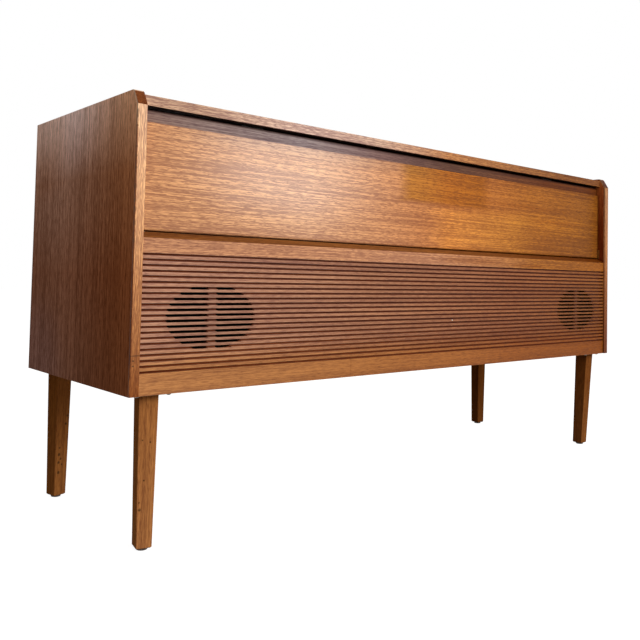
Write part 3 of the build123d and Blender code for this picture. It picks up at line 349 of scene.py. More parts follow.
woodLooks = {
    "sideTeak": {
        "grain": "Z", "waviness": 0.001, "roughness": 0.5, "specular": 0.0, "amounts": (0.3, 0.8, 0.9, 0.5),
        "darkTint": (0.62, 0.52, 0.42), "lightTint": (1.42, 1.42, 1.32),
        # lighter towards the top: painted sheen above, painted shade lower down
        "zones": ("Z", (0.24, 128, 75, 47), (0.42, 139, 79, 47), (0.58, 165, 105, 70), (0.70, 227, 171, 136)),
        # painted sheen: lighter and bluer towards the back
        "fadesAndPaintedLight": [("Y", -0.2, 0.12, (1.2, 1.68, 2.8))],
        # painted shade on the chamfer
        "chamferPaintedShade": (0.22, 0.075, 0.018),
        # painted shade on the right side's inner face, in the recess beside the flap
        "marks": [mark((0.666, -0.190, 0.59), (0.006, 0.018, 0.14), (0.45, 0.22, 0.09), 0.1, square=True),
                  # the next mark takes some painted sheen back at the top; the one after adds painted sheen
                  # low at the back
                  mark((-0.685, 0.16, 0.66), (0.03, 0.16, 0.13), (0.90, 0.76, 0.62), 0.7),
                  mark((-0.685, 0.18, 0.27), (0.03, 0.16, 0.13), (1.06, 1.16, 1.42), 0.7)],
        "polish": mark((-0.685, 0.10, 0.72), (0.1, 0.34, 0.14), soft=0.9, strength=0.35),
    },
    "lippingTeak": {
        "grain": "Z", "shift": (0.3, 0.2, 0.0), "fineness": 1.1, "waviness": 0.002,
        "amounts": (0.35, 0.6, 1.1, 0.6),
        # darker towards the bottom: painted shade
        "zones": ("Z", (0.24, 137, 77, 35), (0.40, 188, 129, 83), (0.52, 227, 172, 126),
                  (0.69, 230, 187, 153)),
        "fadesAndPaintedLight": [("X", 0.2, 0.5, (0.44, 0.34, 0.25))],
        # painted shade on the chamfer
        "chamferPaintedShade": (0.21, 0.088, 0.028),
        "marks": [mark((-0.677, -0.206, 0.3009), (0.012, 0.01, 0.0009), (0.11, 0.05, 0.025), 0.4, 0.8,
                       square=True, mode="MIX"),
                  *(mark((-0.680, -0.206, z), (0.0022, 0.004, 0.0016), (0.12, 0.05, 0.02), mode="MIX")
                    for z in (0.2935, 0.2857)),
                  # painted shade along the lipping's rounded outer edge
                  mark((-0.6852, -0.206, 0.46), (0.0018, 0.006, 0.21), (0.388, 0.262, 0.199), 0.2,
                       ragged=0.3, square=True),
                  *(mark((-0.6848, -0.206, height), (0.0023, 0.005, half), (0.15, 0.07, 0.035), 0.4, 0.6,
                         0.5, mode="MIX") for height, half in lippingChips)],
    },
    "flapTeak": {
        "grain": "X", "shift": (0.0, 0.4, 0.1), "waviness": 0.005, "roughness": 0.42, "coatRoughness": 0.27,
        "amounts": (0.5, 0.85, 0.9, 0.75),
        # paler at the left and middle, partly painted highlight; the right end darker and more orange
        "zones": ("X", (-0.67, 192, 137, 96), (-0.33, 200, 150, 114), (0.05, 171, 103, 50),
                  (0.35, 145, 86, 30), (0.67, 115, 66, 17)),
        "marks": [mark((0.050, -0.187, 0.622), (0.160, 0.05, 0.046), (0.784, 0.704, 0.264), 0.3,
                       ragged=0.1, square=True),
                  mark((0.36, -0.187, 0.60), (0.26, 0.05, 0.008), (0.734, 0.65, 0.566), 0.9, ragged=0.6),
                  mark((0.48, -0.187, 0.57), (0.2, 0.05, 0.007), (0.79, 0.706, 0.622), 0.9, ragged=0.6),
                  mark((0.18, -0.187, 0.53), (0.22, 0.05, 0.060), (1.33, 1.5, 1.38), 0.6, ragged=0.3,
                       square=True),
                  mark((0.49, -0.187, 0.56), (0.16, 0.05, 0.035), (1.25, 1.3, 1.1), 0.6, ragged=0.3,
                       square=True),
                  # painted shade along the flap's top, under the pull and the top board
                  mark((-0.30, -0.187, 0.662), (0.40, 0.05, 0.035), (0.76, 0.79, 0.90), 0.6, ragged=0.2,
                       square=True)],
        "polish": mark((-0.36, -0.187, 0.62), (0.31, 0.5, 0.15), soft=0.7, strength=0.30, ragged=0.15),
    },
    "slatTeak": {
        "grain": "X", "shift": (0.7, 0.1, 0.3), "amounts": (0.5, 0.4, 0.6, 0.3),
        "zones": ("X", (-0.67, 173, 126, 105), (-0.2, 151, 103, 77), (0.25, 130, 80, 52),
                  (0.67, 118, 67, 25)),
        # the second fade is painted shade deep in the grooves and slots; the first mark lightens it in the
        # lower rows
        "fadesAndPaintedLight": [("Z", 0.32, 0.27, (0.99, 0.84, 0.46)), ("Y", -0.2023, -0.2008, (0.31, 0.125, 0.06))],
        "marks": [mark((0.0, -0.1975, 0.25), (0.8, 0.0040, 0.10), (1.6, 2.0, 1.9), 0.5, square=True),
                  *(mark((x, -0.2025, 0.3556), (0.1, 0.02, 0.066), (0.86, 0.888, 0.93))
                    for x in (-0.541, 0.541)),
                  mark((-0.237, -0.2025, 0.262), (0.0012, 0.02, 0.022), (0.804, 0.734, 0.664), 0.6,
                       square=True),
                  mark((0.053, -0.2025, 0.339), (0.002, 0.01, 0.0014), (0.85, 0.80, 0.72), 0.5,
                       mode="MIX")],
    },
    "sillTeak": {
        "grain": "X", "shift": (0.2, 0.9, 0.5),
        "zones": ("X", (-0.67, 178, 125, 93), (0.0, 184, 130, 95), (0.35, 153, 95, 39), (0.67, 127, 71, 16)),
        # painted shade on the bevel along the sill's top
        "fadesAndPaintedLight": [("Z", 0.4766, 0.4776, (0.44, 0.32, 0.145))],
        "marks": [mark((x, -0.2025, z), (half, 0.03, tall), (0.745, 0.655, 0.565), 0.7, ragged=0.7)
                  for x, z, half, tall in ((0.12, 0.4655, 0.16, 0.010), (0.33, 0.460, 0.10, 0.006))],
    },
    "topTeak": {
        # painted shade beneath the top board
        "grain": "X", "shift": (0.5, 0.6, 0.2), "roughness": 0.5, "undersidePaintedShade": (0.06, 0.04, 0.04),
        "amounts": (0.4, 0.9, 1.1, 0.8),
        # the pale stop at -0.36 is a painted highlight
        "zones": ("X", (-0.57, 180, 144, 123), (-0.36, 199, 167, 155), (-0.16, 184, 150, 133),
                  (0.05, 172, 117, 73), (0.48, 117, 71, 36)),
    },
    "pullTeak": {
        "grain": "X", "shift": (0.1, 0.3, 0.8), "roughness": 0.5, "amounts": (0.6, 0.9, 0.7, 0.3),
        # the pale stop at -0.36 is a painted highlight
        "zones": ("X", (-0.67, 121, 95, 88), (-0.36, 133, 118, 121), (-0.16, 109, 82, 80),
                  (0.05, 94, 64, 50), (0.42, 88, 43, 10)),
        # painted shadow of the top board over the pull's top
        "fadesAndPaintedLight": [("Z", 0.668, 0.6745, (0.16, 0.10, 0.09))],
    },
    "legTeak": {
        "grain": "Z", "shift": (0.9, 0.2, 0.4), "fineness": 0.9, "specular": 0.0,
        "amounts": (0.4, 0.45, 0.5, 0.35),
        "zones": ("Z", (0.0, 167, 111, 67), (0.24, 152, 97, 53)),
        # painted shade: darker on the right and back legs, and a painted shadow of the cabinet at the legs'
        # tops
        "fadesAndPaintedLight": [("X", -0.5, 0.5, (0.46, 0.40, 0.32)), ("Y", -0.1, 0.15, (0.76, 0.70, 0.56)),
                  ("Z", 0.224, 0.238, (0.65, 0.594, 0.552))],
        # painted shade on the legs' left faces
        "leftFacePaintedShade": (0.73, 0.66, 0.57),
        "marks": [mark((x, y, z), (radius * 1.3, 0.012, radius * 1.5), (0.05, 0.024, 0.01), 0.5, 0.85, 0.5,
                       mode="MIX") for x, y, z, radius in legDents],
    },
    "innerVeneer": {
        "grain": "X", "shift": (0.0, 0.5, 0.9), "roughness": 0.55,
        "zones": ("X", (-0.67, 164, 124, 90), (0.67, 158, 118, 84)),
    },
}
woods = {name: teakMaterial(name, look) for name, look in woodLooks.items()}
print("woods made")

# Hardboard, hammered enamel, metals, plastics, cloths and glass

# bump: distance and strength; handling: how far the roughness drifts
hardboard = {"dark": (92, 62, 42), "light": (118, 84, 58), "fleck": (150, 116, 84), "fibreScale": 380.0,
             "cloudScale": 9.0, "bump": (0.0002, 0.5)}
enamel = {"dark": (196, 186, 160), "light": (222, 214, 190), "cellScale": 260.0, "roughness": 0.32,
          "handling": 0.1, "bump": (0.0002, 0.35)}
metal = {"gritScale": 160.0, "handling": 0.5, "bump": (0.00003, 0.4)}
plastic = {"cloudScale": 14.0, "gritScale": 600.0, "handling": 0.12, "dust": (190, 180, 165),
           "bump": (0.00001, 0.15)}
cloth = {"threadTurn": 6.283, "distortion": 0.3, "bump": (0.0003, 0.6)}
glass = {"cloudScale": 6.0, "roughness": 0.01, "handling": 0.03}

metals = {  # dark, light, metallic, roughness and brushing
    "blackSteel": ((20, 18, 17), (38, 34, 31), 0.2, 0.45),
    "greySteel": ((120, 122, 120), (156, 158, 154), 0.8, 0.42, (1.0, 1.0, 0.2)),
    "brightSteel": ((196, 198, 200), (222, 222, 222), 1.0, 0.16),
    "brass": ((150, 112, 56), (186, 146, 82), 1.0, 0.34),
    "castAlloy": ((150, 150, 148), (178, 178, 174), 1.0, 0.36),
    "screwSteel": ((96, 92, 86), (134, 130, 122), 0.9, 0.4),
    "ferrite": ((40, 40, 42), (66, 66, 68), 0.5, 0.6),
    "darkMirror": ((70, 72, 76), (120, 122, 126), 1.0, 0.12),
    "anodeGrey": ((84, 84, 86), (112, 112, 112), 0.5, 0.55),
}
plastics = {  # colour, shade, roughness and dust
    "ivoryPlastic": ((214, 200, 168), (198, 182, 148), 0.3, 0.1),
    "brownPlastic": ((44, 30, 21), (34, 23, 16), 0.5, 0.1),
    "blackPlastic": ((20, 20, 20), (32, 31, 30), 0.4, 0.1),
    "dialPrint": ((16, 15, 15), (26, 24, 22), 0.25, 0.0),
    "dialIvory": ((226, 214, 178), (214, 200, 162), 0.5, 0.0),
    "pointerRed": ((180, 34, 22), (160, 26, 18), 0.3, 0.0),
    "matRubber": ((28, 27, 27), (42, 40, 39), 0.75, 0.3),
    "glideRubber": ((40, 28, 20), (58, 40, 28), 0.6, 0.2),
    "coilPaper": ((150, 104, 52), (126, 84, 40), 0.4, 0.2),
}
cloths = {  # dark, light and the weave's pitch
    "blackCloth": ((5, 3, 2), (20, 14, 11), 0.0011),
    "conePaper": ((30, 28, 26), (48, 44, 40), 0.002),
}
glasses = {"dialGlass": ((236, 244, 240), 0.25), "valveGlass": ((230, 234, 232), 0.5)}  # tint and alpha


def hardboardMaterial():
    material, tree, shader, place = startMaterial("hardboard", Specular_IOR_Level=0.25)
    fibre = noise(tree, place, hardboard["fibreScale"], 3.0, 0.6)
    cloud = noise(tree, place, hardboard["cloudScale"], 3.0)
    colour = blendColour(tree, cloud, srgb(*hardboard["dark"]), srgb(*hardboard["light"]))
    colour = blendColour(tree, ramp(tree, fibre, 0.45, 0.75), colour, srgb(*hardboard["fleck"]))
    tree.links.new(ramp(tree, fibre, 0.2, 0.8, 0.7, 0.9), shader["Roughness"])
    surface(tree, shader, colour, fibre, *hardboard["bump"])
    return material


def hammerEnamelMaterial():
    material, tree, shader, place = startMaterial("creamEnamel", Coat_Weight=0.3, Coat_Roughness=0.15)
    cells = put(tree, "TexVoronoi", {"Vector": place, "Scale": enamel["cellScale"]}, feature="SMOOTH_F1")
    dimple = cells.outputs["Distance"]
    colour = blendColour(tree, dimple, srgb(*enamel["dark"]), srgb(*enamel["light"]))
    useHandling(tree, shader, place, enamel["roughness"], enamel["handling"])
    surface(tree, shader, colour, dimple, *enamel["bump"])
    return material


def metalMaterial(name, dark, light, metallic, roughness, brushed=(1.0, 1.0, 1.0)):
    material, tree, shader, place = startMaterial(name, Metallic=metallic)
    grit = noise(tree, vectorCalc(tree, "MULTIPLY", place, brushed), metal["gritScale"], 3.0, 0.6)
    useHandling(tree, shader, place, roughness, roughness * metal["handling"])
    surface(tree, shader, blendColour(tree, grit, srgb(*dark), srgb(*light)), grit, *metal["bump"])
    return material


def plasticMaterial(name, colour, shade, roughness, specks):
    material, tree, shader, place = startMaterial(name)
    cloud = noise(tree, place, plastic["cloudScale"], 3.0)
    dusty = times(tree, useHandling(tree, shader, place, roughness, plastic["handling"]), specks)
    base = blendColour(tree, cloud, srgb(*colour), srgb(*shade))
    base = blendColour(tree, dusty, base, srgb(*plastic["dust"]))
    surface(tree, shader, base, noise(tree, place, plastic["gritScale"], 1.0), *plastic["bump"])
    return material


def clothMaterial(name, dark, light, pitch):
    material, tree, shader, place = startMaterial(name, Specular_IOR_Level=0.02, Roughness=0.95)
    wave = {"Vector": place, "Scale": 1.0 / pitch / cloth["threadTurn"], "Distortion": cloth["distortion"]}
    threads = [put(tree, "TexWave", wave, wave_type="BANDS", bands_direction=axis).outputs["Fac"]
               for axis in "XZ"]
    weave = times(tree, *threads)
    surface(tree, shader, blendColour(tree, weave, srgb(*dark), srgb(*light)), weave, *cloth["bump"])
    return material


def glassMaterial(name, colour, alpha):
    material, tree, shader, place = startMaterial(name, Transmission_Weight=1.0, IOR=1.45, Alpha=alpha)
    cloud = noise(tree, place, glass["cloudScale"])
    tree.links.new(blendColour(tree, cloud, srgb(*colour), srgb(255, 255, 255)), shader["Base Color"])
    useHandling(tree, shader, place, glass["roughness"], glass["handling"])
    return material


finishes = {**woods, "hardboard": hardboardMaterial(), "creamEnamel": hammerEnamelMaterial()}
for maker, table in ((metalMaterial, metals), (plasticMaterial, plastics), (clothMaterial, cloths),
                     (glassMaterial, glasses)):
    for name, values in table.items():
        finishes[name] = maker(name, *values)
print("finishes made")

# Which finish each piece carries

pieceFinishes = {
    "sideTeak": "side_left side_right",
    "lippingTeak": "lippings",
    "topTeak": "top_panel",
    "sillTeak": "sill_rail",
    "flapTeak": "flap_panel",
    "pullTeak": "flap_pull",
    "slatTeak": "front_grille",
    "legTeak": "leg_front_left leg_front_right leg_back_left leg_back_right",
    "innerVeneer": "base_panel compartment_floor partition_left partition_right",
    "hardboard": "back_panel",
    "creamEnamel": "tuner_fascia deck_plate",
    "blackSteel": "leg_plates mains_transformer",
    "greySteel": "tuner_chassis potentiometers deck_motor speaker_left_basket speaker_right_basket",
    "brightSteel": "flap_pivots pointer_rail tuning_spindle deck_spindle overarm",
    "brass": "pivot_plates flap_stays",
    "castAlloy": "platter",
    "screwSteel": "wood_screws leg_bolts catch_strikes",
    "ferrite": "speaker_left_magnet speaker_right_magnet",
    "brownPlastic": "magnetic_catches",
    "ivoryPlastic": "stay_guides tuning_knob volume_knob tone_knob button_gram button_long button_medium "
                    "button_short tonearm control_lever",
    "blackPlastic": "mains_inlet",
    "dialPrint": "dial_plate",
    "pointerRed": "dial_pointer",
    "matRubber": "platter_mat",
    "glideRubber": "leg_glides",
    "blackCloth": "speaker_cloths",
    "conePaper": "speaker_left_cone speaker_right_cone",
    "dialGlass": "dial_glass",
    "valveGlass": "valves",
}
for finish, names in pieceFinishes.items():
    for name in names.split():
        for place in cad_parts[name].material_slots:
            place.material = finishes[finish]
print("finishes given")

# Shapes by Geometry Nodes


def startTree(name, sizes, *takes):
    given = {**{label: "Geometry" for label in takes}, **sizes, "Finish": "Material"}
    return startGroup(name, given, {"Geometry": "Geometry"}, "Geometry")


def endTree(tree, given, ends, shape):
    solid = put(tree, "RealizeInstances", {"Geometry": shape}).outputs[0]
    dressed = put(tree, "SetMaterial", {"Geometry": solid, "Material": given["Finish"]}).outputs[0]
    tree.links.new(dressed, ends["Geometry"])
    return tree


def moved(tree, shape, at=nowhere, turn=nowhere, scale=(1.0, 1.0, 1.0)):
    made = put(tree, "Transform", {"Geometry": shape, "Translation": at, "Scale": scale})
    made.inputs["Rotation"].default_value = Euler([math.radians(a) for a in turn])
    return made.outputs[0]


def cube(tree, size, at=None):
    made = put(tree, "MeshCube", {"Size": size}).outputs["Mesh"]
    return moved(tree, made, at) if at is not None else made


def cylinder(tree, sides, radius, depth):
    return put(tree, "MeshCylinder", {"Vertices": sides, "Radius": radius, "Depth": depth}).outputs["Mesh"]


def lineOf(tree, count, start, step):
    return put(tree, "MeshLine", {"Count": count, "Start Location": start, "Offset": step}).outputs[0]


def joined(tree, shapes):
    return put(tree, "JoinGeometry", {"Geometry": shapes}).outputs[0]


def cutAway(tree, shape, cutters):
    return put(tree, "MeshBoolean", {"Mesh 1": shape, "Mesh 2": cutters}, solver="EXACT",
               operation="DIFFERENCE").outputs["Mesh"]


def repeated(tree, points, shape, **sockets):
    made = put(tree, "InstanceOnPoints", {"Points": points, "Instance": shape, **sockets}).outputs[0]
    return put(tree, "RealizeInstances", {"Geometry": made}).outputs[0]


def bakeTree(name, tree, sizes, finish, source=None):
    maker = placed(name + "Maker", source or bpy.data.meshes.new(name + "Maker"))
    modifier = maker.modifiers.new("shape", "NODES")
    modifier.node_group = tree
    values = {**sizes, "Finish": finishes[finish]}
    for socket in tree.interface.items_tree:
        if socket.in_out == "INPUT" and socket.name in values:
            modifier[socket.identifier] = values[socket.name]
    return meshOf(name, maker)


def meshOf(name, maker):
    graph = bpy.context.evaluated_depsgraph_get()
    mesh = bpy.data.meshes.new_from_object(maker.evaluated_get(graph), depsgraph=graph)
    mesh.name = name
    bpy.data.objects.remove(maker)
    return mesh


def addPiece(name, mesh, body, finish=None, stands=(), smooth=None):
    if finish is not None:
        mesh.materials.clear()
        mesh.materials.append(finishes[finish])
    if smooth is not None:
        mesh.shade_smooth()
        mesh.set_sharp_from_angle(angle=math.radians(smooth))
    piece = placed(name, mesh)
    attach(piece, body)
    if stands:
        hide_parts(*stands)


# Grooved front board, with its slots in an oval at each end and a rib down each oval

grille = {"Rows": 22, "Pitch": 0.00845, "Groove Height": 0.0034, "Groove Depth": 0.0045, "Mouth": 0.0004,
          "First Slot Row": 6.0, "Slot Rows": 12, "Slot Height": 0.0042, "Oval Offset": 0.541,
          "Oval Drop": 0.098475, "Half Width": 0.0832, "Half Height": 0.0527, "Rib Width": 0.016,
          "Web": 0.004, "Cut Spare": 0.004}


def grilleTree(sizes):
    tree, given, ends = startTree("groovedBoard", sizes)
    length, thick, tall = split(tree, given["Board Size"])
    middleY, middleZ = split(tree, given["Board Centre"])[1:3]
    frontY = minus(tree, middleY, times(tree, thick, 0.5))
    topZ = plus(tree, middleZ, times(tree, tall, 0.5))
    board = cube(tree, given["Board Size"], given["Board Centre"])

    halfGroove = times(tree, given["Groove Height"], 0.5)
    cutLength = plus(tree, length, given["Cut Spare"])
    cutDepth = times(tree, given["Groove Depth"], 2.0)
    step = combine(tree, z=times(tree, given["Pitch"], -1.0))
    rows = lineOf(tree, given["Rows"], combine(tree, y=frontY, z=minus(tree, topZ, halfGroove)), step)
    grooves = repeated(tree, rows, cube(tree, combine(tree, cutLength, cutDepth, given["Groove Height"])))
    # a square bar on its edge takes the arris off both lips of a groove
    bar = cylinder(tree, 4, plus(tree, halfGroove, given["Mouth"]), cutLength)
    mouths = repeated(tree, rows, moved(tree, bar, turn=(0.0, 90.0, 0.0)))

    ovalZ = minus(tree, topZ, given["Oval Drop"])
    halfRib = times(tree, given["Rib Width"], 0.5)
    slotTop = minus(tree, topZ, times(tree, given["First Slot Row"], given["Pitch"]))
    slotZ = minus(tree, slotTop, times(tree, given["Slot Height"], 0.5))
    slotRows = lineOf(tree, given["Slot Rows"], combine(tree, y=frontY, z=slotZ), step)
    # each slot is as wide as the oval is at its height
    here = split(tree, put(tree, "InputPosition").outputs[0])[2]
    share = calc(tree, "DIVIDE", minus(tree, here, ovalZ), given["Half Height"])
    chord = calc(tree, "SQRT", minus(tree, 1.0, times(tree, share, share)))
    width = minus(tree, times(tree, chord, given["Half Width"]), halfRib)
    away = plus(tree, halfRib, times(tree, width, 0.5))
    cutter = cube(tree, combine(tree, 1.0, cutDepth, given["Slot Height"]))
    slots = []
    pockets = []
    for end in (-1.0, 1.0):
        ovalX = times(tree, given["Oval Offset"], end)
        for side in (-1.0, 1.0):
            shift = combine(tree, plus(tree, ovalX, times(tree, away, side)))
            spots = put(tree, "SetPosition", {"Geometry": slotRows, "Offset": shift}).outputs[0]
            slots.append(repeated(tree, spots, cutter, Scale=combine(tree, width, 1.0, 1.0)))
        oval = combine(tree, given["Half Width"], given["Half Height"], 1.0)
        disc = moved(tree, cylinder(tree, 96, 1.0, thick), scale=oval)
        pocketY = plus(tree, middleY, given["Web"])
        disc = moved(tree, disc, combine(tree, ovalX, pocketY, ovalZ), turn=(90.0, 0.0, 0.0))
        rib = cube(tree, combine(tree, given["Rib Width"], times(tree, thick, 3.0), tall),
                   combine(tree, ovalX, middleY, ovalZ))
        pockets.append(cutAway(tree, disc, [rib]))
    shape = cutAway(tree, board, [grooves, mouths, joined(tree, slots), joined(tree, pockets)])
    return endTree(tree, given, ends, shape)


def makeFrontGrille():
    low, high = (Vector(corner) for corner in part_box("front_grille"))
    sizes = {"Board Size": tuple(high - low), "Board Centre": tuple((high + low) / 2), **grille}
    mesh = bakeTree("frontGrille", grilleTree(sizes), sizes, "slatTeak")
    addPiece("frontGrille", mesh, "cabinet", stands=["front_grille"])


makeFrontGrille()
print("front grille made")

# Wood screws: a round head with a slot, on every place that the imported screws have

screw = {"Head Radius": 0.0036, "Head Height": 0.0022, "Shank Radius": 0.00175, "Shank Length": 0.009,
         "Tip Radius": 0.0003, "Slot Width": 0.0008, "Slot Depth": 0.0011, "Seed": 7}


def islandsOf(node):
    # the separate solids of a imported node, as low and high corners
    work = bmesh.new()
    work.from_mesh(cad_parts[node].data)
    bmesh.ops.remove_doubles(work, verts=work.verts, dist=0.000001)
    left = set(work.verts)
    found = []
    while left:
        edge = [left.pop()]
        corners = [edge[0].co.copy()]
        while edge:
            for side in edge.pop().link_edges:
                for vert in side.verts:
                    if vert in left:
                        left.remove(vert)
                        edge.append(vert)
                        corners.append(vert.co.copy())
        low = Vector([min(c[i] for c in corners) for i in range(3)])
        high = Vector([max(c[i] for c in corners) for i in range(3)])
        found.append((low, high))
    work.free()
    return sorted(found, key=lambda pair: tuple(round(value, 4) for value in pair[0]))


def packedScrews():
    places = []
    for low, high in islandsOf("wood_screws"):
        middle = (low + high) / 2
        if high.z - low.z > high.y - low.y:  # driven up through a leg plate
            places.append(((middle.x, middle.y, low.z + screw["Head Height"]), (0.0, 0.0, -1.0)))
        else:  # driven forwards from the back
            places.append(((middle.x, high.y - screw["Head Height"], middle.z), (0.0, 1.0, 0.0)))
    return places


def screwPoints(places):
    points = bpy.data.meshes.new("screwPoints")
    points.from_pydata([place for place, facing in places], [], [])
    facings = points.attributes.new("facing", "FLOAT_VECTOR", "POINT")
    for number, (place, facing) in enumerate(places):
        facings.data[number].vector = facing
    return points


def screwTree():
    tree, given, ends = startTree("roundHeadScrew", screw, "Points")
    ball = put(tree, "MeshUVSphere", {"Segments": 20, "Rings": 12, "Radius": 1.0}).outputs["Mesh"]
    size = combine(tree, given["Head Radius"], given["Head Radius"], given["Head Height"])
    ball = moved(tree, ball, scale=size)
    wide = times(tree, given["Head Radius"], 4.0)
    below = cube(tree, combine(tree, wide, wide, wide), combine(tree, z=times(tree, wide, -0.5)))
    slot = cube(tree, combine(tree, wide, given["Slot Width"], times(tree, given["Slot Depth"], 2.0)),
                combine(tree, z=given["Head Height"]))
    shank = put(tree, "MeshCone", {"Vertices": 10, "Radius Top": given["Shank Radius"],
                                   "Radius Bottom": given["Tip Radius"],
                                   "Depth": given["Shank Length"]}).outputs["Mesh"]
    shank = moved(tree, shank, combine(tree, z=times(tree, given["Shank Length"], -1.0)))
    shape = joined(tree, [cutAway(tree, ball, [below, slot]), shank])
    facing = put(tree, "InputNamedAttribute", {"Name": "facing"}, data_type="FLOAT_VECTOR").outputs[0]
    aligned = put(tree, "FunctionNodeAlignRotationToVector", {"Vector": facing}, axis="Z").outputs[0]
    angle = put(tree, "FunctionNodeRandomValue", {2: 0.0, 3: math.pi, "Seed": given["Seed"]}).outputs[1]
    twist = put(tree, "FunctionNodeEulerToRotation", {0: combine(tree, z=angle)}).outputs[0]
    turned = put(tree, "FunctionNodeRotateRotation", {0: aligned, 1: twist}, rotation_space="LOCAL")
    heads = repeated(tree, given["Points"], shape, Rotation=turned.outputs[0])
    return endTree(tree, given, ends, heads)


roundHeads = screwTree()
screwMesh = bakeTree("woodScrewHeads", roundHeads, screw, "screwSteel", screwPoints(packedScrews()))
addPiece("woodScrewHeads", screwMesh, "cabinet", stands=["wood_screws"], smooth=30)
print("screws made")

# Turned, lofted and merged meshes for the inner pieces, with sizes in mm

mm = 0.001


def finishedMesh(name, work):
    bmesh.ops.remove_doubles(work, verts=work.verts, dist=0.0000005)
    bmesh.ops.recalc_face_normals(work, faces=work.faces)
    mesh = bpy.data.meshes.new(name)
    work.to_mesh(mesh)
    work.free()
    return mesh


def turnedMesh(name, profile, at, axis="Z", sides=64, flutes=None):
    # profile: (distance from the axis, place along it, 1 where the flutes bite)
    work = bmesh.new()
    rings = []
    for point in profile:
        radius, along = point[0], point[1]
        ring = []
        for number in range(sides if radius > 0 else 1):
            angle = 2 * math.pi * number / sides
            bite = 0.0
            if flutes and len(point) > 2:
                bite = flutes["depth"] * (0.5 - 0.5 * math.cos(flutes["count"] * angle))
            across, up = (radius - bite) * math.cos(angle), (radius - bite) * math.sin(angle)
            spot = {"Z": (across, up, along), "front": (across, -along, up), "X": (along, across, up)}[axis]
            ring.append(work.verts.new(Vector(at) + Vector(spot) * mm))
        rings.append(ring)
    if profile[0][0] > 0:  # a profile that starts off the axis closes on itself
        rings.append(rings[0])
    for near, far in zip(rings, rings[1:]):
        for number in range(sides):
            after = (number + 1) % sides
            corners = [near[number % len(near)], near[after % len(near)],
                       far[after % len(far)], far[number % len(far)]]
            corners = list(dict.fromkeys(corners))
            if len(corners) > 2:
                work.faces.new(corners)
    return finishedMesh(name, work)


def roundedLoop(width, height, corner, steps=4):
    loop = []
    for turn, (sideX, sideY) in enumerate(((1, 1), (-1, 1), (-1, -1), (1, -1))):
        for step in range(steps + 1):
            angle = math.radians(90 * (turn + step / steps))
            loop.append((sideX * (width / 2 - corner) + corner * math.cos(angle),
                         sideY * (height / 2 - corner) + corner * math.sin(angle)))
    return loop


def loftedMesh(name, sections, axis="Z"):
    # sections: (place along the axis, middle across, middle up, width, height, corner radius)
    work = bmesh.new()
    rings = []
    for along, middleA, middleB, width, height, corner in sections:
        ring = []
        for first, second in roundedLoop(width, height, corner):
            spot = {"Z": (middleA + first, middleB + second, along),
                    "Y": (middleA + first, along, middleB + second)}[axis]
            ring.append(work.verts.new(Vector(spot) * mm))
        rings.append(ring)
    for near, far in zip(rings, rings[1:]):
        for number in range(len(near)):
            after = (number + 1) % len(near)
            work.faces.new((near[number], near[after], far[after], far[number]))
    work.faces.new(rings[0])
    work.faces.new(rings[-1])
    return finishedMesh(name, work)


def mergedMesh(name, meshes):
    work = bmesh.new()
    for mesh in meshes:
        work.from_mesh(mesh)
    mesh = bpy.data.meshes.new(name)
    work.to_mesh(mesh)
    work.free()
    return mesh


def rowTree():
    tree, given, ends = startTree("row", {"Count": 1, "Start": nowhere, "Step": nowhere}, "Shape")
    line = lineOf(tree, given["Count"], given["Start"], given["Step"])
    return endTree(tree, given, ends, repeated(tree, line, given["Shape"]))


rowShape = rowTree()

# Knobs: a skirt, a fluted grip and a spun brass cap let into the front

knob = {"sides": 144, "flutes": {"count": 24, "depth": 0.8}, "backY": -0.122, "overhang": 3.0, "skirt": 3.5,
        "ease": 0.7, "foot": 0.5, "round": 1.8, "bore": 9.0, "boreRadius": 3.0, "capShare": 0.68,
        "capSunk": 1.3, "capLip": 0.6, "capGap": 0.1, "capRings": 9, "ringLow": 0.65, "ringHigh": 0.85,
        "ringFirst": 0.88, "ringStep": 0.095}


def knobPiece(name, node, body, hasSpindle):
    low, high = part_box(node)
    at = ((low[0] + high[0]) / 2, knob["backY"], (low[2] + high[2]) / 2)
    outer = (high[0] - low[0]) / 2 / mm
    length = (knob["backY"] - low[1]) / mm
    grip = outer - knob["overhang"]
    cap = grip * knob["capShare"]
    base = length - knob["capSunk"]
    skirt, ease, foot, edge, lip = (knob[key] for key in ("skirt", "ease", "foot", "round", "capLip"))
    inmost = (knob["backY"] - high[1]) / mm if hasSpindle else knob["bore"]
    profile = [
        (0, inmost), (knob["boreRadius"], inmost), (knob["boreRadius"], 0), (outer - ease, 0), (outer, ease),
        (outer, skirt - ease), (outer - ease, skirt), (grip + foot, skirt), (grip, skirt + foot, 1),
        (grip, length - edge, 1), (grip - edge * 0.3, length - edge * 0.3, 1), (grip - edge, length),
        (cap + lip, length), (cap, length - lip), (cap, base), (0, base)]
    mesh = turnedMesh(name, profile, at, "front", knob["sides"], knob["flutes"])
    addPiece(name, mesh, body, "ivoryPlastic", [node], 40)
    rim = cap - knob["capGap"]
    spun = [(0, base), (rim, base), (rim, base + 0.5), (cap * 0.93, base + 0.8)]
    for ring in range(knob["capRings"]):  # fine rings left by the lathe
        rise = knob["ringLow"] if ring % 2 else knob["ringHigh"]
        spun.append((cap * (knob["ringFirst"] - knob["ringStep"] * ring), base + rise))
    spun.append((0, base + 0.9))
    addPiece(name + "Cap", turnedMesh(name + "Cap", spun, at, "front", 72), body, "brass", smooth=20)


knobPiece("tuningKnob", "tuning_knob", "tuning", False)
knobPiece("volumeKnob", "volume_knob", "volume", True)
knobPiece("toneKnob", "tone_knob", "tone", True)
print("knobs made")

# The dial's printed scales: ticks by Geometry Nodes, and plain numbers

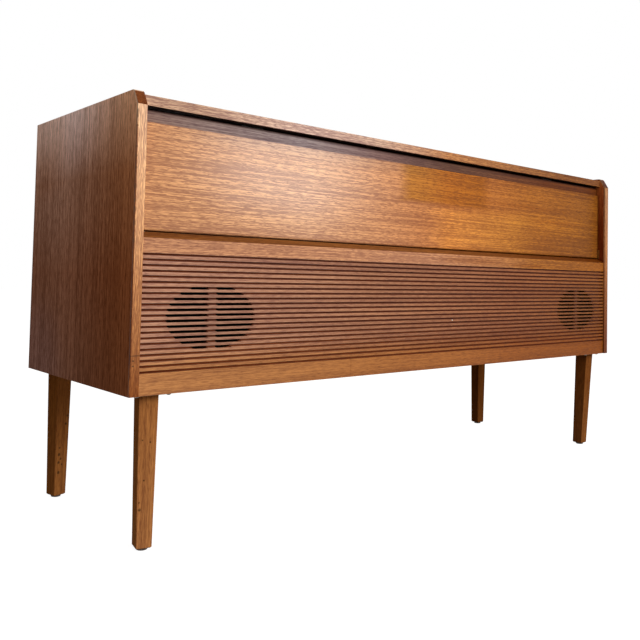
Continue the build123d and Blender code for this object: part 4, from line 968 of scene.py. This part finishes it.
dial = {"left": -0.512, "right": -0.302, "rows": (0.5775, 0.5595, 0.5415), "front": -0.1060,
        "numberSize": 0.0060, "numberRise": 0.0046,
        "numbers": ((6, 8, 10, 12, 14, 16, 18), (190, 220, 260, 300, 360, 440, 550),
                    (1000, 1150, 1300, 1450, 1600, 1800, 2000))}
dialTicks = {"Start": nowhere, "Span": dial["right"] - dial["left"], "Line": 0.00035, "Ink": 0.00012,
             "Minor Count": 43, "Minor Tall": 0.0018, "Major Count": 7, "Major Tall": 0.0034}


def dialTickTree():
    tree, given, ends = startTree("dialTicks", dialTicks)
    span = given["Span"]
    parts = []
    for label in ("Minor", "Major"):
        count = given[label + " Count"]
        step = combine(tree, calc(tree, "DIVIDE", span, minus(tree, count, 1.0)))
        rise = combine(tree, z=times(tree, given[label + " Tall"], 0.5))
        line = lineOf(tree, count, vectorCalc(tree, "ADD", given["Start"], rise), step)
        tick = cube(tree, combine(tree, given["Line"], given["Ink"], given[label + " Tall"]))
        parts.append(repeated(tree, line, tick))
    middle = vectorCalc(tree, "ADD", given["Start"], combine(tree, times(tree, span, 0.5)))
    length = plus(tree, span, given["Line"])
    parts.append(cube(tree, combine(tree, length, given["Ink"], given["Line"]), middle))
    return endTree(tree, given, ends, joined(tree, parts))


def numberMesh(number, at):
    curve = bpy.data.curves.new("number", "FONT")
    curve.body = str(number)
    curve.size = dial["numberSize"]
    curve.align_x = "CENTER"
    curve.resolution_u = 2
    curve.extrude = dialTicks["Ink"] / 2
    mesh = meshOf("number", placed("number", curve))
    mesh.transform(Matrix.Translation(at) @ Matrix.Rotation(math.radians(90), 4, "X"))
    return mesh


def makeDialScale():
    inkY = dial["front"] - dialTicks["Ink"] / 2
    tree = dialTickTree()
    printed = []
    for rowZ, numbers in zip(dial["rows"], dial["numbers"]):
        gaps = len(numbers) - 1
        sizes = {**dialTicks, "Start": (dial["left"], inkY, rowZ), "Major Count": gaps + 1}
        printed.append(bakeTree("dialTicks", tree, sizes, "dialIvory"))
        for place, number in enumerate(numbers):
            x = dial["left"] + dialTicks["Span"] * place / gaps
            printed.append(numberMesh(number, (x, inkY, rowZ + dial["numberRise"])))
    addPiece("dialScale", mergedMesh("dialScale", printed), "cabinet", "dialIvory")


makeDialScale()
print("dial printed")

# Screws that hold the tuner's fascia, the deck plate and the transformer's core

panelScrew = {"fasciaX": (-0.628, -0.186), "fasciaZ": (0.4815, 0.6055), "fasciaY": -0.120,
              "deckX": (-0.088, 0.224), "deckY": (-0.122, 0.150), "deckZ": 0.4865,
              "coreX": (-0.2815, -0.2165), "coreZ": (0.525, 0.582), "coreY": (-0.039, -0.005),
              "shank": 0.0012, "seed": 11}


def makePanelScrews():
    front, back, up = (0.0, -1.0, 0.0), (0.0, 1.0, 0.0), (0.0, 0.0, 1.0)
    places = [((x, panelScrew["fasciaY"], z), front) for x in panelScrew["fasciaX"]
              for z in panelScrew["fasciaZ"]]
    places += [((x, y, panelScrew["deckZ"]), up) for x in panelScrew["deckX"] for y in panelScrew["deckY"]]
    places += [((x, y, z), facing) for x in panelScrew["coreX"] for z in panelScrew["coreZ"]
               for y, facing in zip(panelScrew["coreY"], (front, back))]
    sizes = {**screw, "Shank Length": panelScrew["shank"], "Seed": panelScrew["seed"]}
    mesh = bakeTree("panelScrewHeads", roundHeads, sizes, "brightSteel", screwPoints(places))
    addPiece("panelScrewHeads", mesh, "cabinet", smooth=30)


makePanelScrews()

# Valves: black base, thin glass, grey anode between two mica discs, and a silvered top

valve = {
    "count": 5, "first": (-0.593, -0.0135, 0.5205), "step": (0.046, 0.0, 0.0), "sides": 40,
    "base": [(0, 0), (11.4, 0), (12, 0.6), (12, 5.6), (11.2, 6.2), (11.2, 8.4), (10.6, 9), (0, 9)],
    "outside": [(0, 52), (0.8, 51.7), (1.5, 50.4), (2.3, 49.2), (5.0, 48.2), (8.2, 46.2), (10.1, 43.0),
                (10.8, 39.0), (11, 34.0), (11, 12.0), (10.4, 9.4)],
    "inside": [(9.7, 9.4), (10.3, 12.4), (10.3, 34.0), (10.1, 38.8), (9.4, 42.6), (7.7, 45.6), (4.8, 47.5),
               (0, 48.4)],
    "silver": [(0, 48.2), (4.7, 47.3), (7.5, 45.5), (9.2, 42.6), (9.6, 40.6), (9.4, 40.6), (9.0, 42.5),
               (7.3, 45.2), (4.6, 47.0), (0, 47.9)],
    "micaLow": (13.0, 36.0), "micaRadius": 9.4, "micaThick": 0.4,
    "anode": [(13.4, 10.0, 7.0), (16.0, 10.6, 7.4), (24.5, 10.6, 7.4), (25.2, 11.4, 8.2), (25.9, 10.6, 7.4),
              (35.0, 10.6, 7.4), (36.0, 10.0, 7.0)],
    "anodeCorner": 2.4,
    "stem": [(0, 9.0), (0.45, 9.0), (0.45, 38.5), (0, 38.5)],
    "stemsAt": ((-7.2, 0), (7.2, 0), (0, -5.2), (0, 5.2)),
}


def valveRow(name, mesh, finish, stands=(), smooth=35):
    sizes = {"Count": valve["count"], "Start": valve["first"], "Step": valve["step"]}
    row = bakeTree(name, rowShape, sizes, finish, mesh)
    addPiece(name, row, "cabinet", stands=stands, smooth=smooth)


def turnedValve(profile):
    return turnedMesh("valvePart", profile, nowhere, "Z", valve["sides"])


def makeValves():
    valveRow("valveBases", turnedValve(valve["base"]), "blackPlastic")
    valveRow("valveGlasses", turnedValve(valve["outside"] + valve["inside"]), "valveGlass",
             ["valves"])
    valveRow("valveSilvering", turnedValve(valve["silver"]), "darkMirror")
    inside = []
    for low in valve["micaLow"]:
        high, wide = low + valve["micaThick"], valve["micaRadius"]
        inside.append(turnedMesh("mica", [(0, low), (wide, low), (wide, high), (0, high)], nowhere, "Z", 24))
    anode = [(z, 0, 0, width, depth, valve["anodeCorner"]) for z, width, depth in valve["anode"]]
    inside.append(loftedMesh("anode", anode))
    for x, y in valve["stemsAt"]:
        inside.append(turnedMesh("stem", valve["stem"], (x * mm, y * mm, 0.0), "Z", 8))
    valveRow("valveInsides", mergedMesh("valveInside", inside), "anodeGrey", smooth=40)


makeValves()
print("valves made")

# Mains transformer: a stack of thin plates round a wrapped coil

transformer = {
    "middle": (-0.249, -0.022), "low": 0.5205, "width": 74.0, "height": 66.0, "depth": 34.0, "plates": 34,
    "plateShare": 0.62, "plateEase": 0.3, "plateCorner": 0.6,
    "coilWidth": 49.0, "coilHeight": 53.0, "coilDepth": 62.0,
    "coilForm": ((0, 2, 4), (1.2, 0, 5), (3.0, 0, 5), (3.2, 3, 6), (6, 1.6, 7)),  # rise, inset, corner
}


def makeTransformer():
    midX, midY = (value / mm for value in transformer["middle"])
    low = transformer["low"] / mm
    width, height, depth, plates = (transformer[key] for key in ("width", "height", "depth", "plates"))
    thick = depth / plates * transformer["plateShare"]
    ease = transformer["plateEase"]
    sections = [(thick * share, midX, low + height / 2, width - inset, height - inset,
                 transformer["plateCorner"])
                for share, inset in ((-0.5, ease), (-0.25, 0), (0.25, 0), (0.5, ease))]
    sizes = {"Count": plates, "Start": (0.0, (midY - depth / 2 + thick / 2) * mm, 0.0),
             "Step": (0.0, (depth - thick) / (plates - 1) * mm, 0.0)}
    plate = loftedMesh("corePlate", sections, "Y")
    stack = bakeTree("transformerCore", rowShape, sizes, "blackSteel", plate)
    addPiece("transformerCore", stack, "cabinet", stands=["mains_transformer"])
    high = low + transformer["coilHeight"]
    wide, deep = transformer["coilWidth"], transformer["coilDepth"]
    coil = [(low + rise, midX, midY, wide - inset, deep - inset, corner)
            for rise, inset, corner in transformer["coilForm"]]
    coil += [(high - rise, midX, midY, wide - inset, deep - inset, corner)
             for rise, inset, corner in reversed(transformer["coilForm"])]
    addPiece("transformerCoil", loftedMesh("transformerCoil", coil), "cabinet", "coilPaper",
             smooth=35)


makeTransformer()
print("transformer made")

# Record deck: turned platter and ribbed mat

platter = {
    "centre": (0.020, 0.014), "low": 0.4925, "matLow": 0.5025, "sides": 128,
    "disc": [(3.65, 0), (124.0, 0), (125, 1.0), (125, 2.2), (124.1, 2.9), (124.1, 3.7), (125, 4.4),
             (125, 5.8), (124.1, 6.5), (124.1, 7.3), (125, 8.0), (125, 8.8), (123.8, 10), (3.65, 10)],
    "mat": [(3.65, 0), (121.2, 0), (122, 0.8), (122, 2.2), (121.2, 3.0), (119.0, 3.0), (118.4, 2.0),
            (50, 2.0), (49.2, 2.7), (19, 2.7), (18.2, 3.0), (3.65, 3.0)],
    "ribRise": 0.0020,
}
matRibs = {"Ribs": 16, "First Radius": 0.055, "Radius Step": 0.004, "Rib Radius": 0.0009,
           "Centre": (*platter["centre"], platter["matLow"] + platter["ribRise"])}


def matRibTree():
    tree, given, ends = startTree("matRibs", matRibs)
    line = lineOf(tree, given["Ribs"], combine(tree, given["First Radius"]),
                  combine(tree, given["Radius Step"]))
    radius = split(tree, put(tree, "InputPosition").outputs[0])[0]
    kept = put(tree, "CaptureAttribute", {"Geometry": line})
    kept.capture_items.new("FLOAT", "Radius")
    tree.links.new(radius, kept.inputs["Radius"])
    stacked = put(tree, "SetPosition", {"Geometry": kept.outputs["Geometry"], "Position": given["Centre"]})
    hoop = put(tree, "CurvePrimitiveCircle", {"Resolution": 96, "Radius": 1.0}).outputs[0]
    size = combine(tree, kept.outputs["Radius"], kept.outputs["Radius"], 1.0)
    hoops = repeated(tree, stacked.outputs[0], hoop, Scale=size)
    section = put(tree, "CurvePrimitiveCircle", {"Resolution": 8, "Radius": given["Rib Radius"]}).outputs[0]
    ribs = put(tree, "CurveToMesh", {"Curve": hoops, "Profile Curve": section}).outputs[0]
    return endTree(tree, given, ends, ribs)


def makePlatter():
    disc = turnedMesh("platterDisc", platter["disc"], (*platter["centre"], platter["low"]), "Z",
                      platter["sides"])
    addPiece("platterDisc", disc, "platter", "castAlloy", ["platter"], 25)
    base = turnedMesh("matBase", platter["mat"], (*platter["centre"], platter["matLow"]), "Z",
                      platter["sides"])
    ribs = bakeTree("matRibs", matRibTree(), matRibs, "matRubber")
    addPiece("ribbedMat", mergedMesh("ribbedMat", [base, ribs]), "platter", "matRubber",
             ["platter_mat"], 40)


# Tonearm: pillar, tube in side bearings, counterweight, head and cartridge

tonearm = {
    "pivot": (0.198, 0.119), "deckTop": 486.5, "height": 522.5, "reach": 226.0, "bearingAside": 8.8,
    "pillar": [(0, -6.0), (4, -6.0), (4, 0.3), (12.4, 0.3), (13, 0.9), (13, 3.4), (12.2, 4.4), (9.6, 7.0),
               (8.4, 12.0), (8.0, 20.0), (8.8, 26.0), (11.0, 29.6), (11.0, 30.6), (9.4, 31.2), (9.4, 39.0),
               (9.0, 40.6), (7.4, 41.6), (0, 42.0)],
    "bearing": [(0, 0), (3.2, 0), (3.2, 1.6), (1.8, 1.9), (1.6, 3.0), (0, 3.2)],
    "tube": [(0, -41.0), (4.6, -41.0), (5.0, -40.4), (5.0, -12.0), (4.7, -8.0), (4.6, 20.0), (4.0, 120.0),
             (3.6, 182.0), (4.4, 183.0), (4.4, 187.0), (0, 187.0)],
    "weight": [(0, -42.0), (10.6, -42.0), (12, -40.8), (12, -37.0), (11.3, -36.6), (11.3, -36.0),
               (12, -35.6), (12, -22.2), (11.0, -21.0), (0, -21.0)],
    # behind the head's front, aside, above the tube's middle, width, height, corner
    "head": [(0, 0, -1.0, 12.5, 5.6, 2.4), (1.2, 0, -1.0, 14.4, 8.0, 2.8), (8, 0, -1.6, 16.0, 11.6, 3.0),
             (26, 0, -1.6, 16.0, 12.6, 3.0), (34, 0, -0.6, 13.4, 10.8, 3.4), (39, 0, 0, 10.0, 9.6, 4.2),
             (40, 0, 0, 9.0, 8.8, 4.2)],
    "fingerLift": [(3, 8.4, -2.0, 1.6, 1.2, 0.5), (5, 10.0, -1.4, 4.4, 1.2, 0.5),
                   (12, 10.0, -1.4, 4.4, 1.2, 0.5), (14, 8.4, -2.0, 1.6, 1.2, 0.5)],
    "cartridge": [(6, 0, -8.6, 8.0, 4.4, 0.8), (7, 0, -8.8, 9.4, 6.4, 1.0), (22, 0, -8.8, 9.4, 6.4, 1.0),
                  (23, 0, -8.6, 8.4, 5.0, 0.8)],
    "needle": [(0, -14.4), (0.5, -13.6), (0.9, -11.0), (0, -11.0)], "needleBack": 11,
}


def armLoft(name):
    x, y = (value / mm for value in tonearm["pivot"])
    return loftedMesh(name, [(y - tonearm["reach"] + back, x + aside, tonearm["height"] + rise, *section)
                             for back, aside, rise, *section in tonearm[name]], "Y")


def makeTonearm():
    pivotX, pivotY = tonearm["pivot"]
    z = tonearm["height"] * mm
    pillar = turnedMesh("pillar", tonearm["pillar"], (pivotX, pivotY, tonearm["deckTop"] * mm), "Z", 48)
    addPiece("tonearmPillar", pillar, "tonearm", "ivoryPlastic", ["tonearm"], 35)
    tube = [turnedMesh("armTube", tonearm["tube"], (pivotX, pivotY, z), "front", 32)]
    for side in (-1, 1):
        bearing = [(radius, side * along) for radius, along in tonearm["bearing"]]
        at = (pivotX + side * tonearm["bearingAside"] * mm, pivotY, z)
        tube.append(turnedMesh("bearing", bearing, at, "X", 24))
    addPiece("tonearmTube", mergedMesh("tonearmTube", tube), "tonearm", "brightSteel",
             smooth=35)
    drum = turnedMesh("tonearmWeight", tonearm["weight"], (pivotX, pivotY, z), "front", 48)
    addPiece("tonearmWeight", drum, "tonearm", "blackPlastic", smooth=35)
    head = mergedMesh("tonearmHead", [armLoft("head"), armLoft("fingerLift")])
    addPiece("tonearmHead", head, "tonearm", "ivoryPlastic", smooth=35)
    needleY = pivotY + (tonearm["needleBack"] - tonearm["reach"]) * mm
    needle = turnedMesh("needle", tonearm["needle"], (pivotX, needleY, z), "Z", 10)
    cartridge = mergedMesh("cartridge", [armLoft("cartridge"), needle])
    addPiece("cartridge", cartridge, "tonearm", "blackPlastic", smooth=35)


makePlatter()
makeTonearm()
print("record deck made")

# Floor, lights and camera

studio = {
    "floorSize": 30.0, "floorBase": 0.5, "floorGlow": 0.92, "floorShadow": 0.30, "world": 0.30,
    "worldTint": (1.0, 0.98, 0.96), "aim": (0.0, 0.0, 0.45),
    "lamps": {"frontLight": (50.0, (-0.45, -2.70, 1.85), 1.5),  # power, place, size
              "glossLight": (50.0, (1.52, -2.80, 1.02), 0.8),
              "backLight": (30.0, (1.5, 2.7, 2.0), 1.5)},
}
camera = {"at": (-1.1996, -1.2257, 0.4243), "turn": (92.2915, -1.3044, -40.1615), "lens": 42.349,
          "shift": (0.01252, -0.11539)}
white = (1.0, 1.0, 1.0)


def whiteWhenSeen(tree, lighting, seen, output):
    # one surface lights the object, and the other is what the camera, gloss and glass see
    rays = put(tree, "LightPath").outputs
    either = calc(tree, "MAXIMUM", rays["Is Camera Ray"], rays["Is Glossy Ray"])
    either = calc(tree, "MAXIMUM", either, rays["Is Transmission Ray"])
    mixed = put(tree, "MixShader", {0: either, 1: lighting, 2: seen})
    tree.links.new(mixed.outputs[0], tree.nodes[output].inputs["Surface"])


def makeFloor():
    mesh = bpy.data.meshes.new("floor")
    half = studio["floorSize"] / 2
    corners = [(-half, -half, 0), (half, -half, 0), (half, half, 0), (-half, half, 0)]
    mesh.from_pydata(corners, [], [(0, 1, 2, 3)])
    material, tree, shader, place = startMaterial("floorWhite", Roughness=0.9)
    shader["Base Color"].default_value = (*[studio["floorBase"]] * 3, 1.0)
    glow = put(tree, "Emission", {"Color": white, "Strength": studio["floorGlow"]}).outputs[0]
    shadow = put(tree, "BsdfDiffuse", {"Color": (studio["floorShadow"],) * 3}).outputs[0]
    seen = put(tree, "AddShader", {0: glow, 1: shadow}).outputs[0]
    whiteWhenSeen(tree, tree.nodes["Principled BSDF"].outputs[0], seen, "Material Output")
    mesh.materials.append(material)
    placed("floor", mesh)


def makeWorld():
    world = bpy.data.worlds.new("studioWorld")
    bpy.context.scene.world = world
    world.use_nodes = True
    tree = world.node_tree
    sky = tree.nodes["Background"]
    feed(tree, sky.inputs["Color"], studio["worldTint"])
    feed(tree, sky.inputs["Strength"], studio["world"])
    seen = put(tree, "Background", {"Color": white, "Strength": 1.0}).outputs[0]
    whiteWhenSeen(tree, sky.outputs[0], seen, "World Output")


def makeLamp(name, power, at, size):
    light = bpy.data.lights.new(name, "AREA")
    light.energy = power
    light.size = size
    holder = placed(name, light)
    holder.location = at
    holder.rotation_euler = (Vector(studio["aim"]) - holder.location).to_track_quat("-Z", "Y").to_euler()


def makeCamera():
    data = bpy.data.cameras.new("photoCamera")
    data.lens = camera["lens"]
    data.sensor_width = 36.0
    data.shift_x, data.shift_y = camera["shift"]
    holder = placed("photoCamera", data)
    holder.location = camera["at"]
    holder.rotation_euler = Euler([math.radians(a) for a in camera["turn"]], "XYZ")
    bpy.context.scene.camera = holder


makeFloor()
makeWorld()
for name, values in studio["lamps"].items():
    makeLamp(name, *values)
makeCamera()
bpy.context.scene.view_settings.view_transform = "Standard"
print("stage set")
